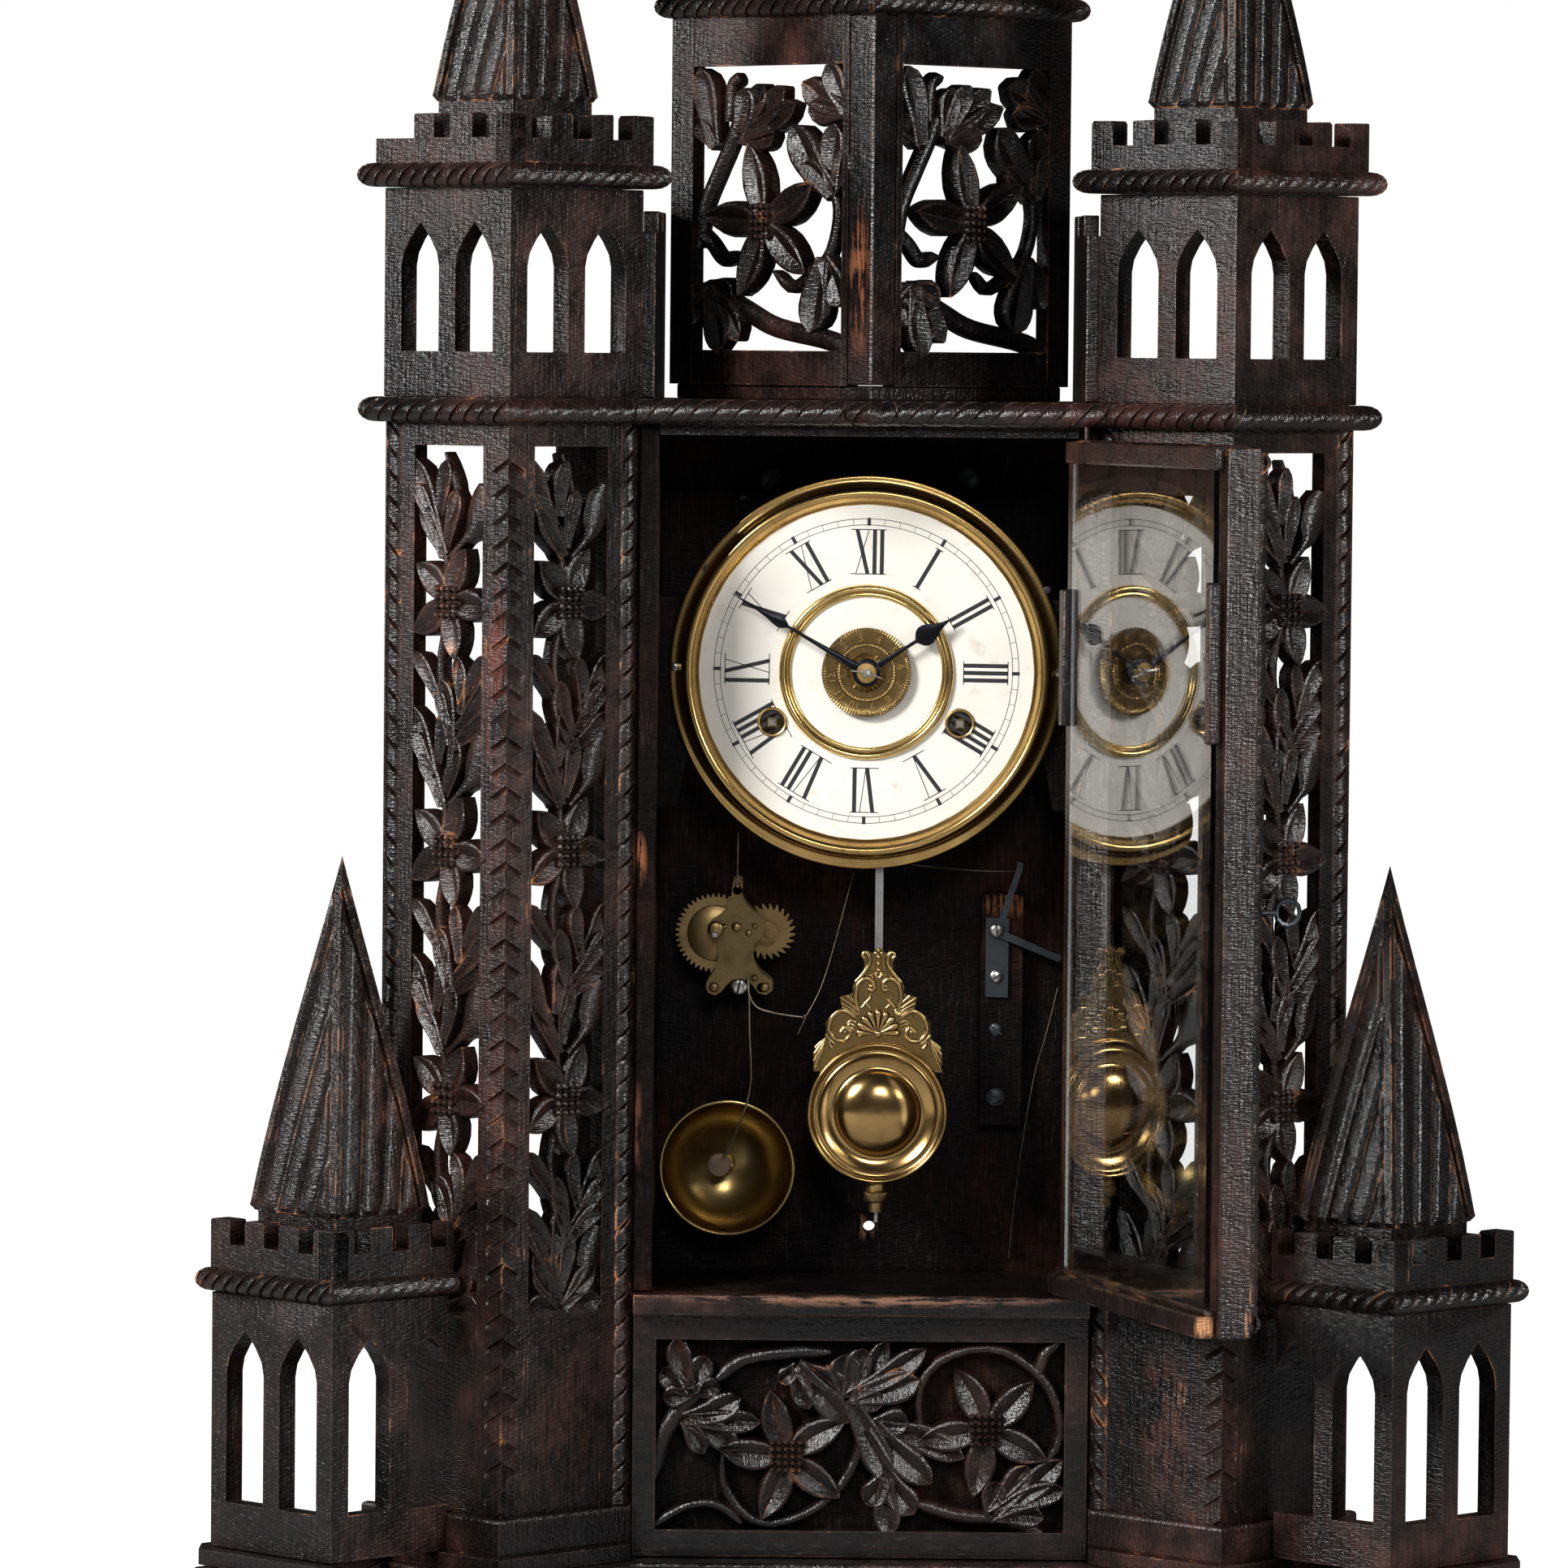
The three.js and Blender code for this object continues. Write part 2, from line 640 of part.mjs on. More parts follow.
// Side turret walls: the inner wall stops at the tower's plinth
function sideTurretWalls(foot) {
  const face = tower.x - tower.front + (plinthProud + gap) * root2;
  const low = sideTurret.front - sideTurret.half;
  const far = sideTurret.x + sideTurret.half * 2;
  const keep = slab([
    point(face + low, low), point(far, low), point(far, far - face), point(face + far - face, far - face),
  ], 0, foot + sideTurret.high + overrun);
  return kept(turretWalls(sideTurret, foot), keep);
}

// Lantern

const lanternRail = { bottom: 14, top: 15, outerPost: 13, arm: 14, base: 6.5 };
const lanternFlowerShares = [0.5, 0.47];
const lanternPetal = { long: 34, wide: 15.5, turnDeg: 30 };
const lanternLeafWide = 15;
const lanternLeafShares = [
  [0.2, 0.62, 0.04, 0.98], [0.2, 0.62, 0.3, 0.98], [0.16, 0.6, -0.02, 0.72],
  [0.84, 0.66, 0.7, 1.02], [0.84, 0.66, 1.02, 0.98], [0.84, 0.66, 0.62, 0.8],
  [0.84, 0.64, 1.02, 0.72], [0.8, 0.34, 1.02, 0.42], [0.8, 0.34, 0.98, 0.16],
  [0.82, 0.36, 0.66, 0.1], [0.22, 0.2, 0.02, 0.3], [0.22, 0.2, 0.04, 0.04],
  [0.22, 0.2, 0.42, 0.12], [0.2, 0.36, 0.02, 0.46],
];
const lanternStemShares = [
  [[0.2, 1.02], [0.2, 0.62], [0.12, 0.4], [0.26, 0.18], [0.62, 0.08], [0.98, 0.02]],
  [[0.84, 1.02], [0.84, 0.64], [0.93, 0.5], [0.8, 0.32], [0.98, 0.02]],
  [[0.26, 0.2], [0.36, 0.34], [0.5, 0.47]], [[0.5, 0.47], [0.68, 0.56], [0.86, 0.62]],
];

function carvedField(left, right, bottom, top, thick, leaves, stems, leafWide, stemWide, flowers) {
  const place = ([x, z]) => point(left + x * (right - left), bottom + z * (top - bottom));
  const outlines = [
    ...leaves.map(([x0, z0, x1, z1]) => leafOutline(place([x0, z0]), place([x1, z1]), leafWide)),
    ...stems.map((line) => stemOutline(line.map(place), stemWide)),
    ...flowers.map(({ at, long, wide, turnDeg }) =>
      flowerOutline(place(at), long, wide, turnDeg)),
  ];
  const field = board(rectangle(left - gap, right + gap, bottom - gap, top + gap), thick);
  return kept(joined(outlines.map((outline) => board(outline, thick))), field);
}

// A lantern panel, drawn from the corner post's edge to the outer end
function lanternPanel(postOnRight) {
  const length = faceLength(lantern) - lanternRail.arm - gap;
  const foot = deckTop + lanternRail.base;
  const top = deckTop + lantern.high - gap;
  const opening = postOnRight ? [stileWide / 2, length - lanternRail.outerPost]
    : [lanternRail.outerPost, length - stileWide / 2];
  const low = foot + lanternRail.bottom;
  const high = top - lanternRail.top - plinthProud;
  const frame = board(rectangle(0, length, foot, top), fretThick,
    [rectangle(opening[0], opening[1], low, high)]);
  const carving = carvedField(opening[0], opening[1], low, high, fretThick, lanternLeafShares,
    lanternStemShares, lanternLeafWide, vine.stemWide * root2,
    [{ at: lanternFlowerShares, ...lanternPetal }]);
  return joined(frame, carving);
}

function lanternCrown(foot) {
  const clip = slab(rectangle(-backHalf, backHalf, tower.front, caseBack), foot - overrun,
    foot + corniceThick + parapetHigh + overrun);
  return crown(lantern, foot, [], clip);
}

// Curtain wall from the turret back to the lantern, with thin merlons
function curtainWall() {
  const length = curtain.back - curtain.front;
  const pitch = length / curtain.merlon;
  const outline = [point(0, deckTop), point(length, deckTop), point(length, deckTop + curtain.high - gap)];
  for (let i = Math.floor(pitch / 2) * 2 - 1; i > 0; i -= 1) {
    const across = (length * i) / (Math.floor(pitch / 2) * 2);
    const [before, after] = i % 2 ? [curtain.merlon, 0] : [0, curtain.merlon];
    outline.push(point(across, deckTop + curtain.high - gap - after * curtainDropShare));
    outline.push(point(across, deckTop + curtain.high - gap - before * curtainDropShare));
  }
  outline.push(point(0, deckTop + curtain.high - gap - curtain.merlon * curtainDropShare));
  const wall = board(outline, curtain.thick);
  const lean = Math.atan2(curtain.lean, length);
  wall.rotateZ(Math.PI / 2 + lean);
  return wall.translate(curtain.x + curtain.lean, curtain.front, 0);
}

const curtainDropShare = 0.8;

// Carved lower front: one pierced board, with a dark backing board behind it
const lowerOpening = { left: -86, right: 86, bottom: 36.5, top: 117 };
const lowerFlowerShares = [[0.319, 0.407], [0.8, 0.551]];
const lowerTurnsDeg = [32, 47];
const lowerPetal = { long: 27, wide: 13 };
const lowerLeafWide = 13;
const lowerLeafShares = [
  [0.12, 0.62, 0.03, 0.95], [0.12, 0.62, 0.16, 0.98], [0.12, 0.62, 0.02, 0.7],
  [0.16, 0.5, 0.24, 0.36], [0.12, 0.52, 0.1, 0.28], [0.5, 0.86, 0.37, 0.98],
  [0.5, 0.86, 0.46, 1.02], [0.5, 0.86, 0.6, 1.02], [0.5, 0.86, 0.63, 0.86],
  [0.5, 0.86, 0.55, 0.66], [0.39, 0.9, 0.4, 0.62], [0.54, 0.56, 0.46, 0.8],
  [0.54, 0.56, 0.7, 0.42], [0.54, 0.56, 0.63, 0.26], [0.54, 0.56, 0.5, 0.3],
  [0.54, 0.56, 0.66, 0.62], [0.55, 0.3, 0.53, 0.04], [0.55, 0.3, 0.62, 0.08],
  [0.94, 0.06, 0.98, 0.34], [0.92, 0.05, 0.84, 0.3], [0.9, 0.05, 1.02, 0.16],
];
const lowerStemShares = [
  [[0.02, 0.08], [0.06, 0.4], [0.12, 0.66], [0.28, 0.93], [0.5, 0.88]],
  [[0.17, 0.44], [0.19, 0.18], [0.27, 0.03], [0.36, 0.02], [0.45, 0.16], [0.49, 0.4], [0.47, 0.7],
    [0.4, 0.9]],
  [[0.02, 0.06], [0.12, 0.02], [0.2, 0.12]], [[0.45, 0.68], [0.53, 0.34], [0.56, 0.05]],
  [[0.63, 0.55], [0.66, 0.8], [0.74, 0.96], [0.86, 0.93], [0.95, 0.75], [0.98, 0.5], [0.96, 0.3]],
  [[0.6, 0.12], [0.75, 0.1], [0.98, 0.03]], [[0.93, 0.85], [0.96, 0.94], [1.01, 0.99]],
];

function lowerFrontBoard() {
  const o = lowerOpening;
  const frame = board(rectangle(-boxOuter + gap, boxOuter - gap, baseThick + gap, floorUnder - gap),
    frontThick, [rectangle(o.left, o.right, o.bottom, o.top)]);
  const flowers = lowerFlowerShares.map((at, i) =>
    ({ at, ...lowerPetal, turnDeg: lowerTurnsDeg[i] }));
  const carving = carvedField(o.left, o.right, o.bottom, o.top, fretThick, lowerLeafShares,
    lowerStemShares, lowerLeafWide, vine.stemWide, flowers);
  return joined(frame, carving.translate(0, (frontThick - fretThick) / 2, 0))
    .translate(0, lowerFront, 0);
}

function lowerBacking() {
  const thick = sideThick / 2;
  const sheet = board(rectangle(-openingHalf + gap, openingHalf - gap, baseThick + gap,
    floorUnder - gap), thick);
  return sheet.translate(0, lowerFront + frontThick + gap, 0);
}

// Door, drawn closed with its inner face towards +Y, then turned about its pin

function turnedOpen(geometry) {
  geometry.translate(-door.pinX, -door.pinY, 0);
  geometry.rotateZ(THREE.MathUtils.degToRad(door.openDeg));
  return geometry.translate(door.pinX, door.pinY, 0);
}

function doorFrame() {
  const right = door.pinX + door.pinInset;
  const left = right - door.wide;
  const face = door.pinY - door.thick / 2; // outer face when shut
  const back = face + door.thick;
  const frame = board(rectangle(left, right, door.bottom, door.top), door.thick, [
    rectangle(left + door.stile, right - door.stile, door.bottom + door.stile, door.top - door.stile),
  ]).translate(0, face, 0);
  const inLeft = left + door.freeInset; // what stands inwards goes between the box sides
  const inRight = right - door.hingeInset;
  const ledge = board(rectangle(inLeft, inRight, door.bottom, door.bottom + door.ledgeHigh),
    door.ledgeProud + gap).translate(0, back - gap, 0);
  const head = board(rectangle(inLeft, inRight, door.top - door.ledgeHigh, door.top),
    door.ledgeProud / 2).translate(0, back - gap, 0);
  const middle = (door.bottom + door.top) / 2 + door.stile;
  const blocks = [[inRight - door.blockWide, inRight], [inLeft, inLeft + door.blockWide]].map(([x0, x1]) =>
    board(rectangle(x0, x1, middle, middle + door.blockHigh), door.blockProud + gap)
      .translate(0, back - gap, 0));
  const inset = door.ropeWide / 4;
  const ropes = [
    rectangle(left + inset, left + inset + door.ropeWide, door.bottom + inset, door.top - inset),
    rectangle(right - door.ropeInset - door.ropeWide, right - door.ropeInset,
      door.bottom + inset, door.top - inset),
    rectangle(left + inset, right - door.ropeInset, door.bottom + inset,
      door.bottom + inset + door.ropeWide),
    rectangle(left + inset, right - door.ropeInset, door.top - inset - door.ropeWide,
      door.top - inset),
  ].map((outline) => board(outline, door.ropeProud + gap).translate(0, face - door.ropeProud, 0));
  const pinLow = floorUnder + floorThick / 2;
  const pinHigh = deckLevel + deckThick / 2;
  const pin = new THREE.CylinderGeometry(door.pinRadius, door.pinRadius, pinHigh - pinLow, 10);
  pin.rotateX(Math.PI / 2).translate(door.pinX, door.pinY, (pinLow + pinHigh) / 2);
  return turnedOpen(joined(frame, ledge, head, blocks, ropes, pin));
}

function doorGlass() {
  const right = door.pinX + door.pinInset;
  const left = right - door.wide;
  const back = door.pinY + door.thick / 2;
  const sheet = board(rectangle(left + door.freeInset + door.blockWide + gap,
    right - door.hingeInset - door.blockWide - gap,
    door.bottom + door.ledgeHigh + gap, door.top - door.ledgeHigh - gap), door.glassThick);
  return turnedOpen(sheet.translate(0, back + gap, 0));
}

// A screw eye in the outer face of the free stile, which a hook on the case would catch
const eye = { z: 310, radius: 5.2, wire: 1, reach: 6 };

function doorEye() {
  const left = door.pinX + door.pinInset - door.wide;
  const face = door.pinY - door.thick / 2 - door.ropeProud;
  const ring = new THREE.TorusGeometry(eye.radius, eye.wire, 5, 12);
  ring.rotateY(Math.PI / 2).translate(0, -eye.reach - eye.radius, 0);
  const shank = new THREE.CylinderGeometry(eye.wire, eye.wire, eye.reach + eye.wire, 6);
  shank.translate(0, -(eye.reach + eye.wire) / 2, 0);
  const whole = joined(ring, shank);
  return turnedOpen(whole.translate(left + door.ropeWide, face - gap, eye.z));
}

// Dial

function dialPan() {
  const f = dial.face;
  const s = dial.sheet;
  const seat = f + s + gap; // the lip that the dial lies on
  const roll = f - dial.rollProud;
  const rim = f + dial.rimDrop;
  const inner = dial.radius + gap;
  const outer = dial.flange;
  const share = (t) => inner + t * (outer - inner);
  return turned([
    [inner - dial.lip, seat], [inner, seat], [inner, f], [share(0.3), roll + s],
    [share(0.5), roll], [share(0.7), roll + s], [share(0.8), rim - s], [outer, rim],
    [outer, rim + s], [share(0.7), rim + s], [share(0.5), roll + 2 * s], [inner + s, seat + s],
    [inner - dial.lip, seat + s],
  ], 0, dial.z, dialSides);
}

const dialSides = 32; // the same on the dial and on its pan, so that they nest

function dialPlate() {
  const holes = [circle(0, dial.z, dial.centreHole, 14)];
  [-1, 1].forEach((side) => holes.push(circle(side * winding.x, dial.z - winding.drop, winding.hole, 14)));
  const sheet = board(circle(0, dial.z, dial.radius, dialSides), dial.sheet, holes);
  return sheet.translate(0, dial.face, 0);
}

function dialRing() {
  const top = dial.face - gap;
  const middle = (dial.ringInner + dial.ringOuter) / 2;
  return turned([
    [dial.ringInner, top], [dial.ringInner, top - dial.sheet], [middle, top - 2 * dial.sheet],
    [dial.ringOuter, top - dial.sheet], [dial.ringOuter, top],
  ], 0, dial.z, 32);
}

// Pipes of the alarm disc, the hour hand and the minute arbor turn one inside the other
const pipes = { minute: 1.6, hourWall: 1.1, alarmWall: 1.1, sheetGap: 1.3 };
const handHub = { hourWall: 1, minuteWall: 1.6, proud: 1 };

function arborRadii() {
  const hourBore = pipes.minute + running;
  const hourOuter = hourBore + pipes.hourWall;
  const alarmBore = hourOuter + running;
  return { hourBore, hourOuter, alarmBore, alarmOuter: alarmBore + pipes.alarmWall };
}

function alarmDisc() {
  const r = arborRadii();
  const y = dial.face - dial.sheet - pipes.sheetGap;
  const bead = alarmDial.radius * 0.62;
  return turned([
    [r.alarmBore, y - alarmDial.sheet], [bead - beadHalf, y - alarmDial.sheet],
    [bead, y - alarmDial.sheet * 1.6],
    [bead + beadHalf, y - alarmDial.sheet], [alarmDial.radius, y - alarmDial.sheet], [alarmDial.radius, y],
    [r.alarmOuter, y], [r.alarmOuter, plate.front + plate.thick + overrun],
    [r.alarmBore, plate.front + plate.thick + overrun],
  ], 0, dial.z, 24);
}

const beadHalf = 1;

// Hand outlines point up, with the pivot at the origin, then turn clockwise as seen from front
const hourShares = [
  [-0.036, 0], [-0.03, 0.42], [-0.1, 0.56], [-0.108, 0.66], [-0.075, 0.76], [-0.03, 0.84], [0, 1],
];
const minuteShares = [[-0.026, -0.12], [-0.022, 0.52], [-0.048, 0.63], [-0.04, 0.7], [-0.012, 0.8], [0, 1]];

function handSheet(shares, long, turnDeg, y) {
  const side = shares.map(([x, z]) => point(x * long, z * long));
  const other = shares.slice(0, -1).map(([x, z]) => point(-x * long, z * long)).reverse();
  const sheet = board([...side, ...other].reverse(), hands.sheet);
  sheet.rotateY(THREE.MathUtils.degToRad(turnDeg));
  return sheet.translate(0, y, dial.z);
}

const handPlaneY = () => {
  const disc = dial.face - dial.sheet - pipes.sheetGap - alarmDial.sheet * 1.6;
  const hour = disc - pipes.sheetGap - hands.sheet;
  return { hour, minute: hour - pipes.sheetGap - hands.sheet };
};

function hourHand() {
  const r = arborRadii();
  const y = handPlaneY().hour;
  const pipe = tubeY(0, dial.z, r.hourBore, r.hourOuter, y, plate.front + plate.thick + 2 * overrun, 12);
  const hub = rodY(0, dial.z, r.hourOuter + handHub.hourWall, y, y + hands.sheet, 12);
  const bore = rodY(0, dial.z, r.hourBore, y - overrun, y + overrun, 12);
  const sheet = joined(handSheet(hourShares, hands.hour, hands.hourDeg, y), hub);
  return joined(cut(sheet, bore), pipe);
}

function minuteHand() {
  const y = handPlaneY().minute;
  const arbor = rodY(0, dial.z, pipes.minute, y - overrun, movementBack() - plate.thick - gap);
  const hub = rodY(0, dial.z, pipes.minute + handHub.minuteWall, y - handHub.proud, y + hands.sheet, 16);
  return joined(handSheet(minuteShares, hands.minute, hands.minuteDeg, y), arbor, hub);
}

// Movement: two plates on four pillars, screwed to the back board

const movementBack = () => boxBack - gap;

function movementFrame() {
  const r = arborRadii();
  const outline = rectangle(-plate.half, plate.half, plate.low, plate.high);
  const centre = (plate.low + plate.high) / 2;
  const lightening = [-1, 1].map((side) =>
    circle(side * plate.half / 2, plate.high - lighten.down, lighten.radius, 12));
  const windingHoles = [-1, 1].map((side) =>
    circle(side * winding.x, dial.z - winding.drop, arborRadius + running, 12));
  const frontPlate = board(outline, plate.thick, [
    circle(0, dial.z, r.alarmOuter + running, 14), ...windingHoles, ...lightening,
  ]).translate(0, plate.front, 0);
  const backPlate = board(outline, plate.thick, [...windingHoles, ...lightening])
    .translate(0, movementBack() - plate.thick, 0);
  const corners = [-1, 1].flatMap((side) => [plate.low + plate.inset, plate.high - plate.inset]
    .map((z) => [side * (plate.half - plate.inset), z]));
  const pillars = corners.map(([x, z]) =>
    rodY(x, z, plate.pillar, plate.front + gap, movementBack() - gap, 8));
  const stud = rodY(pendulum.x, pendulum.pivotZ, studRadius, pendulum.y - overrun,
    plate.front + gap, 12);
  return joined(frontPlate, backPlate, pillars, stud);
}

const lighten = { down: 24, radius: 13 };
const arborRadius = 2.5;
const studRadius = 1.2;

function toothedOutline(radius, teeth, deep, turn = 0) {
  return Array.from({ length: teeth * 2 }, (_, i) => {
    const angle = turn + (Math.PI * i) / teeth;
    const reach = i % 2 ? radius - deep : radius;
    return point(reach * Math.cos(angle), reach * Math.sin(angle));
  });
}

const mainToothDeep = 2;

// Winding arbor with its spring barrel and toothed main wheel
function windingWheel(side) {
  const wheel = board(toothedOutline(mainWheel.radius, mainWheel.teeth, mainToothDeep), mainWheel.thick)
    .translate(0, mainWheel.y, 0);
  const barrel = rodY(0, 0, mainWheel.barrel, mainWheel.y - mainWheel.barrelLong, mainWheel.y + gap, 18);
  const arbor = rodY(0, 0, arborRadius, plate.front - overrun, movementBack() - gap);
  const square = board(rectangle(-winding.square / 2, winding.square / 2,
    -winding.square / 2, winding.square / 2), plate.front - winding.front)
    .translate(0, winding.front, 0);
  return joined(wheel, barrel, arbor, square).translate(side * winding.x, 0, dial.z - winding.drop);
}

// Pendulum

function pendulumRod() {
  const p = pendulum;
  const top = p.pivotZ + p.wide * 1.2;
  const flatEnd = p.bobZ + p.bobRadius;
  const flat = board(rectangle(p.x - p.wide / 2, p.x + p.wide / 2, flatEnd, top - p.wide), p.sheet, [])
    .translate(0, p.y - p.sheet / 2, 0);
  const loop = tubeY(p.x, p.pivotZ, studRadius + running, p.wide, p.y - p.sheet / 2, p.y + p.sheet / 2, 16);
  const clear = rodY(p.x, p.pivotZ, studRadius + running, p.y - overrun, p.y + overrun, 16);
  const round = new THREE.CylinderGeometry(p.rodRadius, p.rodRadius, flatEnd + p.wide - p.rodEnd, 10);
  round.rotateX(Math.PI / 2).translate(p.x, p.y, (flatEnd + p.wide + p.rodEnd) / 2);
  return joined(cut(flat, clear), loop, round);
}

// Pressed bob: rolled rim, hollow band and a domed middle, as shares of its radius and depth
const bobShares = [
  [0, 0], [0.32, 0.11], [0.52, 0.44], [0.6, 0.67], [0.78, 0.67], [0.88, 0.39], [0.95, 0.33],
  [1, 0.56], [1, 1], [0, 1],
];

function bobProfile() {
  const p = pendulum;
  const back = p.y - p.rodRadius - gap;
  const front = back - p.bobDeep;
  return bobShares.map(([r, y]) => [r * p.bobRadius, front + y * p.bobDeep]);
}

// Crest outline above the bob, half of it, as shares of its half width and its height
const crestShares = [
  [0.98, -0.5], [1, -0.12], [0.86, -0.02], [0.8, 0.14], [0.86, 0.2], [0.62, 0.36], [0.6, 0.52],
  [0.4, 0.6], [0.22, 0.68], [0.26, 0.84], [0.12, 0.9], [0.1, 1],
];

function pendulumBob() {
  const p = pendulum;
  const bob = turned(bobProfile(), p.x, p.bobZ, 28);
  const foot = p.bobZ + p.bobRadius * 0.9;
  const half = crestShares.map(([x, z]) => point(x * p.crestHalf, foot + z * p.crestHigh));
  const outline = [...half, ...half.map((q) => point(-q.x, q.y)).reverse()];
  const back = p.y - p.rodRadius - gap;
  const sheet = board(outline, p.sheet * 2).translate(p.x, back - p.sheet * 2, 0);
  return joined(bob, sheet);
}

function ratingNut() {
  const p = pendulum;
  const top = p.bobZ - p.bobRadius - gap;
  const foot = top - p.nutHigh;
  const bore = p.rodRadius + running / 2;
  const ring = new THREE.LatheGeometry([
    point(bore, foot - p.nutNeck), point(p.nutRadius * 0.5, foot - p.nutNeck),
    point(p.nutRadius * 0.5, foot), point(p.nutRadius, foot),
    point(p.nutRadius, top - p.nutNeck), point(p.nutRadius * 0.55, top - p.nutNeck),
    point(p.nutRadius * 0.55, top), point(bore, top), point(bore, foot - p.nutNeck),
  ], 12);
  return outward(ring.rotateX(Math.PI / 2)).translate(p.x, p.y, 0);
}

// Bell: a dish open to the front on a post from the back board

function bellDish() {
  const b = bell;
  const arc = [0, 20, 45, 68, 90].map((deg) => {
    const turn = THREE.MathUtils.degToRad(deg);
    return [Math.sin(turn), Math.cos(turn)];
  });
  const outer = arc.map(([s, c]) => [b.radius * s, b.rim + b.deep * c]);
  const inner = arc.map(([s, c]) => [(b.radius - b.wall) * s, b.rim + (b.deep - b.wall) * c]).reverse();
  const dish = turned([...outer, ...inner], b.x, b.z, 26);
  const boss = rodY(b.x, b.z, b.boss * 0.7, b.rim + b.deep - b.boss, b.rim + b.deep - gap, 10);
  const post = rodY(b.x, b.z, b.boss / 2, b.rim + b.deep - b.wall, boxBack - gap, 10);
  return joined(dish, boss, post);
}

// Alarm train: a three-footed plate on pillars, a wound main wheel that drives the escape wheel

function alarmFrame() {
  const a = alarm;
  const [top, low, right] = a.feet;
  const q = alarmShape;
  const outline = [
    point(top[0] - q.lobe, top[1] + q.lobe), point(top[0] + q.lobe, top[1] + q.lobe),
    point(top[0] + q.neck, top[1] - q.neckLong), point(a.escapeX - q.tuck, a.escapeZ + q.waist),
    point(a.escapeX + q.lobe, a.escapeZ), point(a.escapeX - q.hip, a.escapeZ - q.waist),
    point(right[0] + q.tuck, right[1] + q.neckLong), point(right[0] + q.footSide, right[1] - q.footEnd),
    point(right[0] - q.footEnd, right[1] - q.lobe), point((low[0] + right[0]) / 2, low[1] + q.crotch),
    point(low[0] + q.footEnd, low[1] - q.lobe), point(low[0] - q.footSide, low[1] - q.footEnd),
    point(low[0], low[1] + q.neckLong), point(a.mainX + q.hip, a.mainZ - q.waist),
    point(a.mainX - q.lobe, a.mainZ), point(a.mainX + q.tuck, a.mainZ + q.waist),
    point(top[0] - q.neck, top[1] - q.neckLong),
  ].reverse();
  const holes = [
    circle(a.mainX, a.mainZ, alarmArbor + running, 8),
    circle(a.escapeX, a.escapeZ, alarmPivot + running, 8),
    circle(a.hammerX, a.hammerZ, alarmPivot + running, 8),
  ];
  const frontPlate = board(outline, a.sheet, holes).translate(0, a.front, 0);
  const backPlate = board(outline, a.sheet, holes).translate(0, a.back, 0);
  const pillars = a.feet.map(([x, z]) => rodY(x, z, a.pillar, a.front + gap, boxBack - gap, 8));
  return joined(frontPlate, backPlate, pillars);
}

const alarmShape = {
  lobe: 4, neck: 3.4, neckLong: 8, waist: 7.5, tuck: 1, hip: 3, footSide: 4.5, footEnd: 2, crotch: 6,
};
const alarmArbor = 1.8;
const alarmPivot = 1.1;
const alarmEnd = 1; // of each arbor ahead of the front plate
const alarmTooth = { main: 1.6, escape: 2.4, pinion: 1.2, pinionTeeth: 8 };
const alarmThick = { main: 1.2, escape: 1, pinion: 3, square: 8 };

function alarmMainWheel() {
  const a = alarm;
  const wheel = board(toothedOutline(a.mainRadius, a.mainTeeth, alarmTooth.main), alarmThick.main)
   .translate(0, a.mainY, 0);
  const arbor = rodY(0, 0, alarmArbor, a.front - alarmEnd, a.back + a.sheet);
  const square = board(rectangle(-alarmArbor / root2, alarmArbor / root2, -alarmArbor / root2,
    alarmArbor / root2), a.front).translate(0, a.front - alarmThick.square, 0);
  const trimmed = cut(square, board(rectangle(-a.front, a.front, -a.front, a.front), a.front * 2)
    .translate(0, a.front, 0));
  return joined(wheel, arbor, trimmed).translate(a.mainX, 0, a.mainZ);
}

function alarmEscapeWheel() {
  const a = alarm;
  const wheel = board(toothedOutline(a.escapeRadius, a.escapeTeeth, alarmTooth.escape), alarmThick.escape)
    .translate(0, a.escapeY, 0);
  const between = Math.hypot(a.escapeX - a.mainX, a.escapeZ - a.mainZ);
  const pinionRadius = between - a.mainRadius - running;
  const leaves = toothedOutline(pinionRadius, alarmTooth.pinionTeeth, alarmTooth.pinion);
  const pinion = board(leaves, alarmThick.pinion)
    .translate(0, a.mainY + (alarmThick.main - alarmThick.pinion) / 2, 0);
  const arbor = rodY(0, 0, alarmPivot, a.front - alarmEnd, a.back + a.sheet);
  return joined(wheel, pinion, arbor).translate(a.escapeX, 0, a.escapeZ);
}

const hammerWire = {
  ahead: 3, across: 3, down: 43, rimAcross: 1, rimDown: 2, headAcross: 4, headUp: 9, headHalf: 2,
};
const hammerArmOffsets = [[0, 0], [3, -9], [13, -14], [24, -17]];

function alarmHammer() {
  const a = alarm;
  const w = hammerWire;
  const plane = a.front - w.ahead;
  const stem = wire([
    [a.hammerX, plane, a.hammerZ], [a.hammerX + w.across, plane - w.ahead, a.hammerZ - w.down],
    [a.hammerX + w.rimAcross, bell.rim - w.ahead, bell.z + bell.radius - w.rimDown],
    [a.headX + w.headAcross, bell.rim + w.ahead, a.headZ + w.headUp], [a.headX, a.headY, a.headZ],
  ], a.wire);
  const arm = wire(hammerArmOffsets.map(([x, z]) => [a.hammerX + x, plane, a.hammerZ + z]), a.wire, 8);
  const head = rodY(a.headX, a.headZ, a.headRadius, a.headY - w.headHalf, a.headY + w.headHalf, 14);
  const hub = rodY(a.hammerX, a.hammerZ, alarmPivot * 2, plane - alarmEnd, a.front - gap, 12);
  const arbor = rodY(a.hammerX, a.hammerZ, alarmPivot, plane, a.back + a.sheet);
  return joined(stem, arm, head, hub, arbor);
}

// Strike release: a wooden strip, a steel plate with a stud and a bell-crank lever

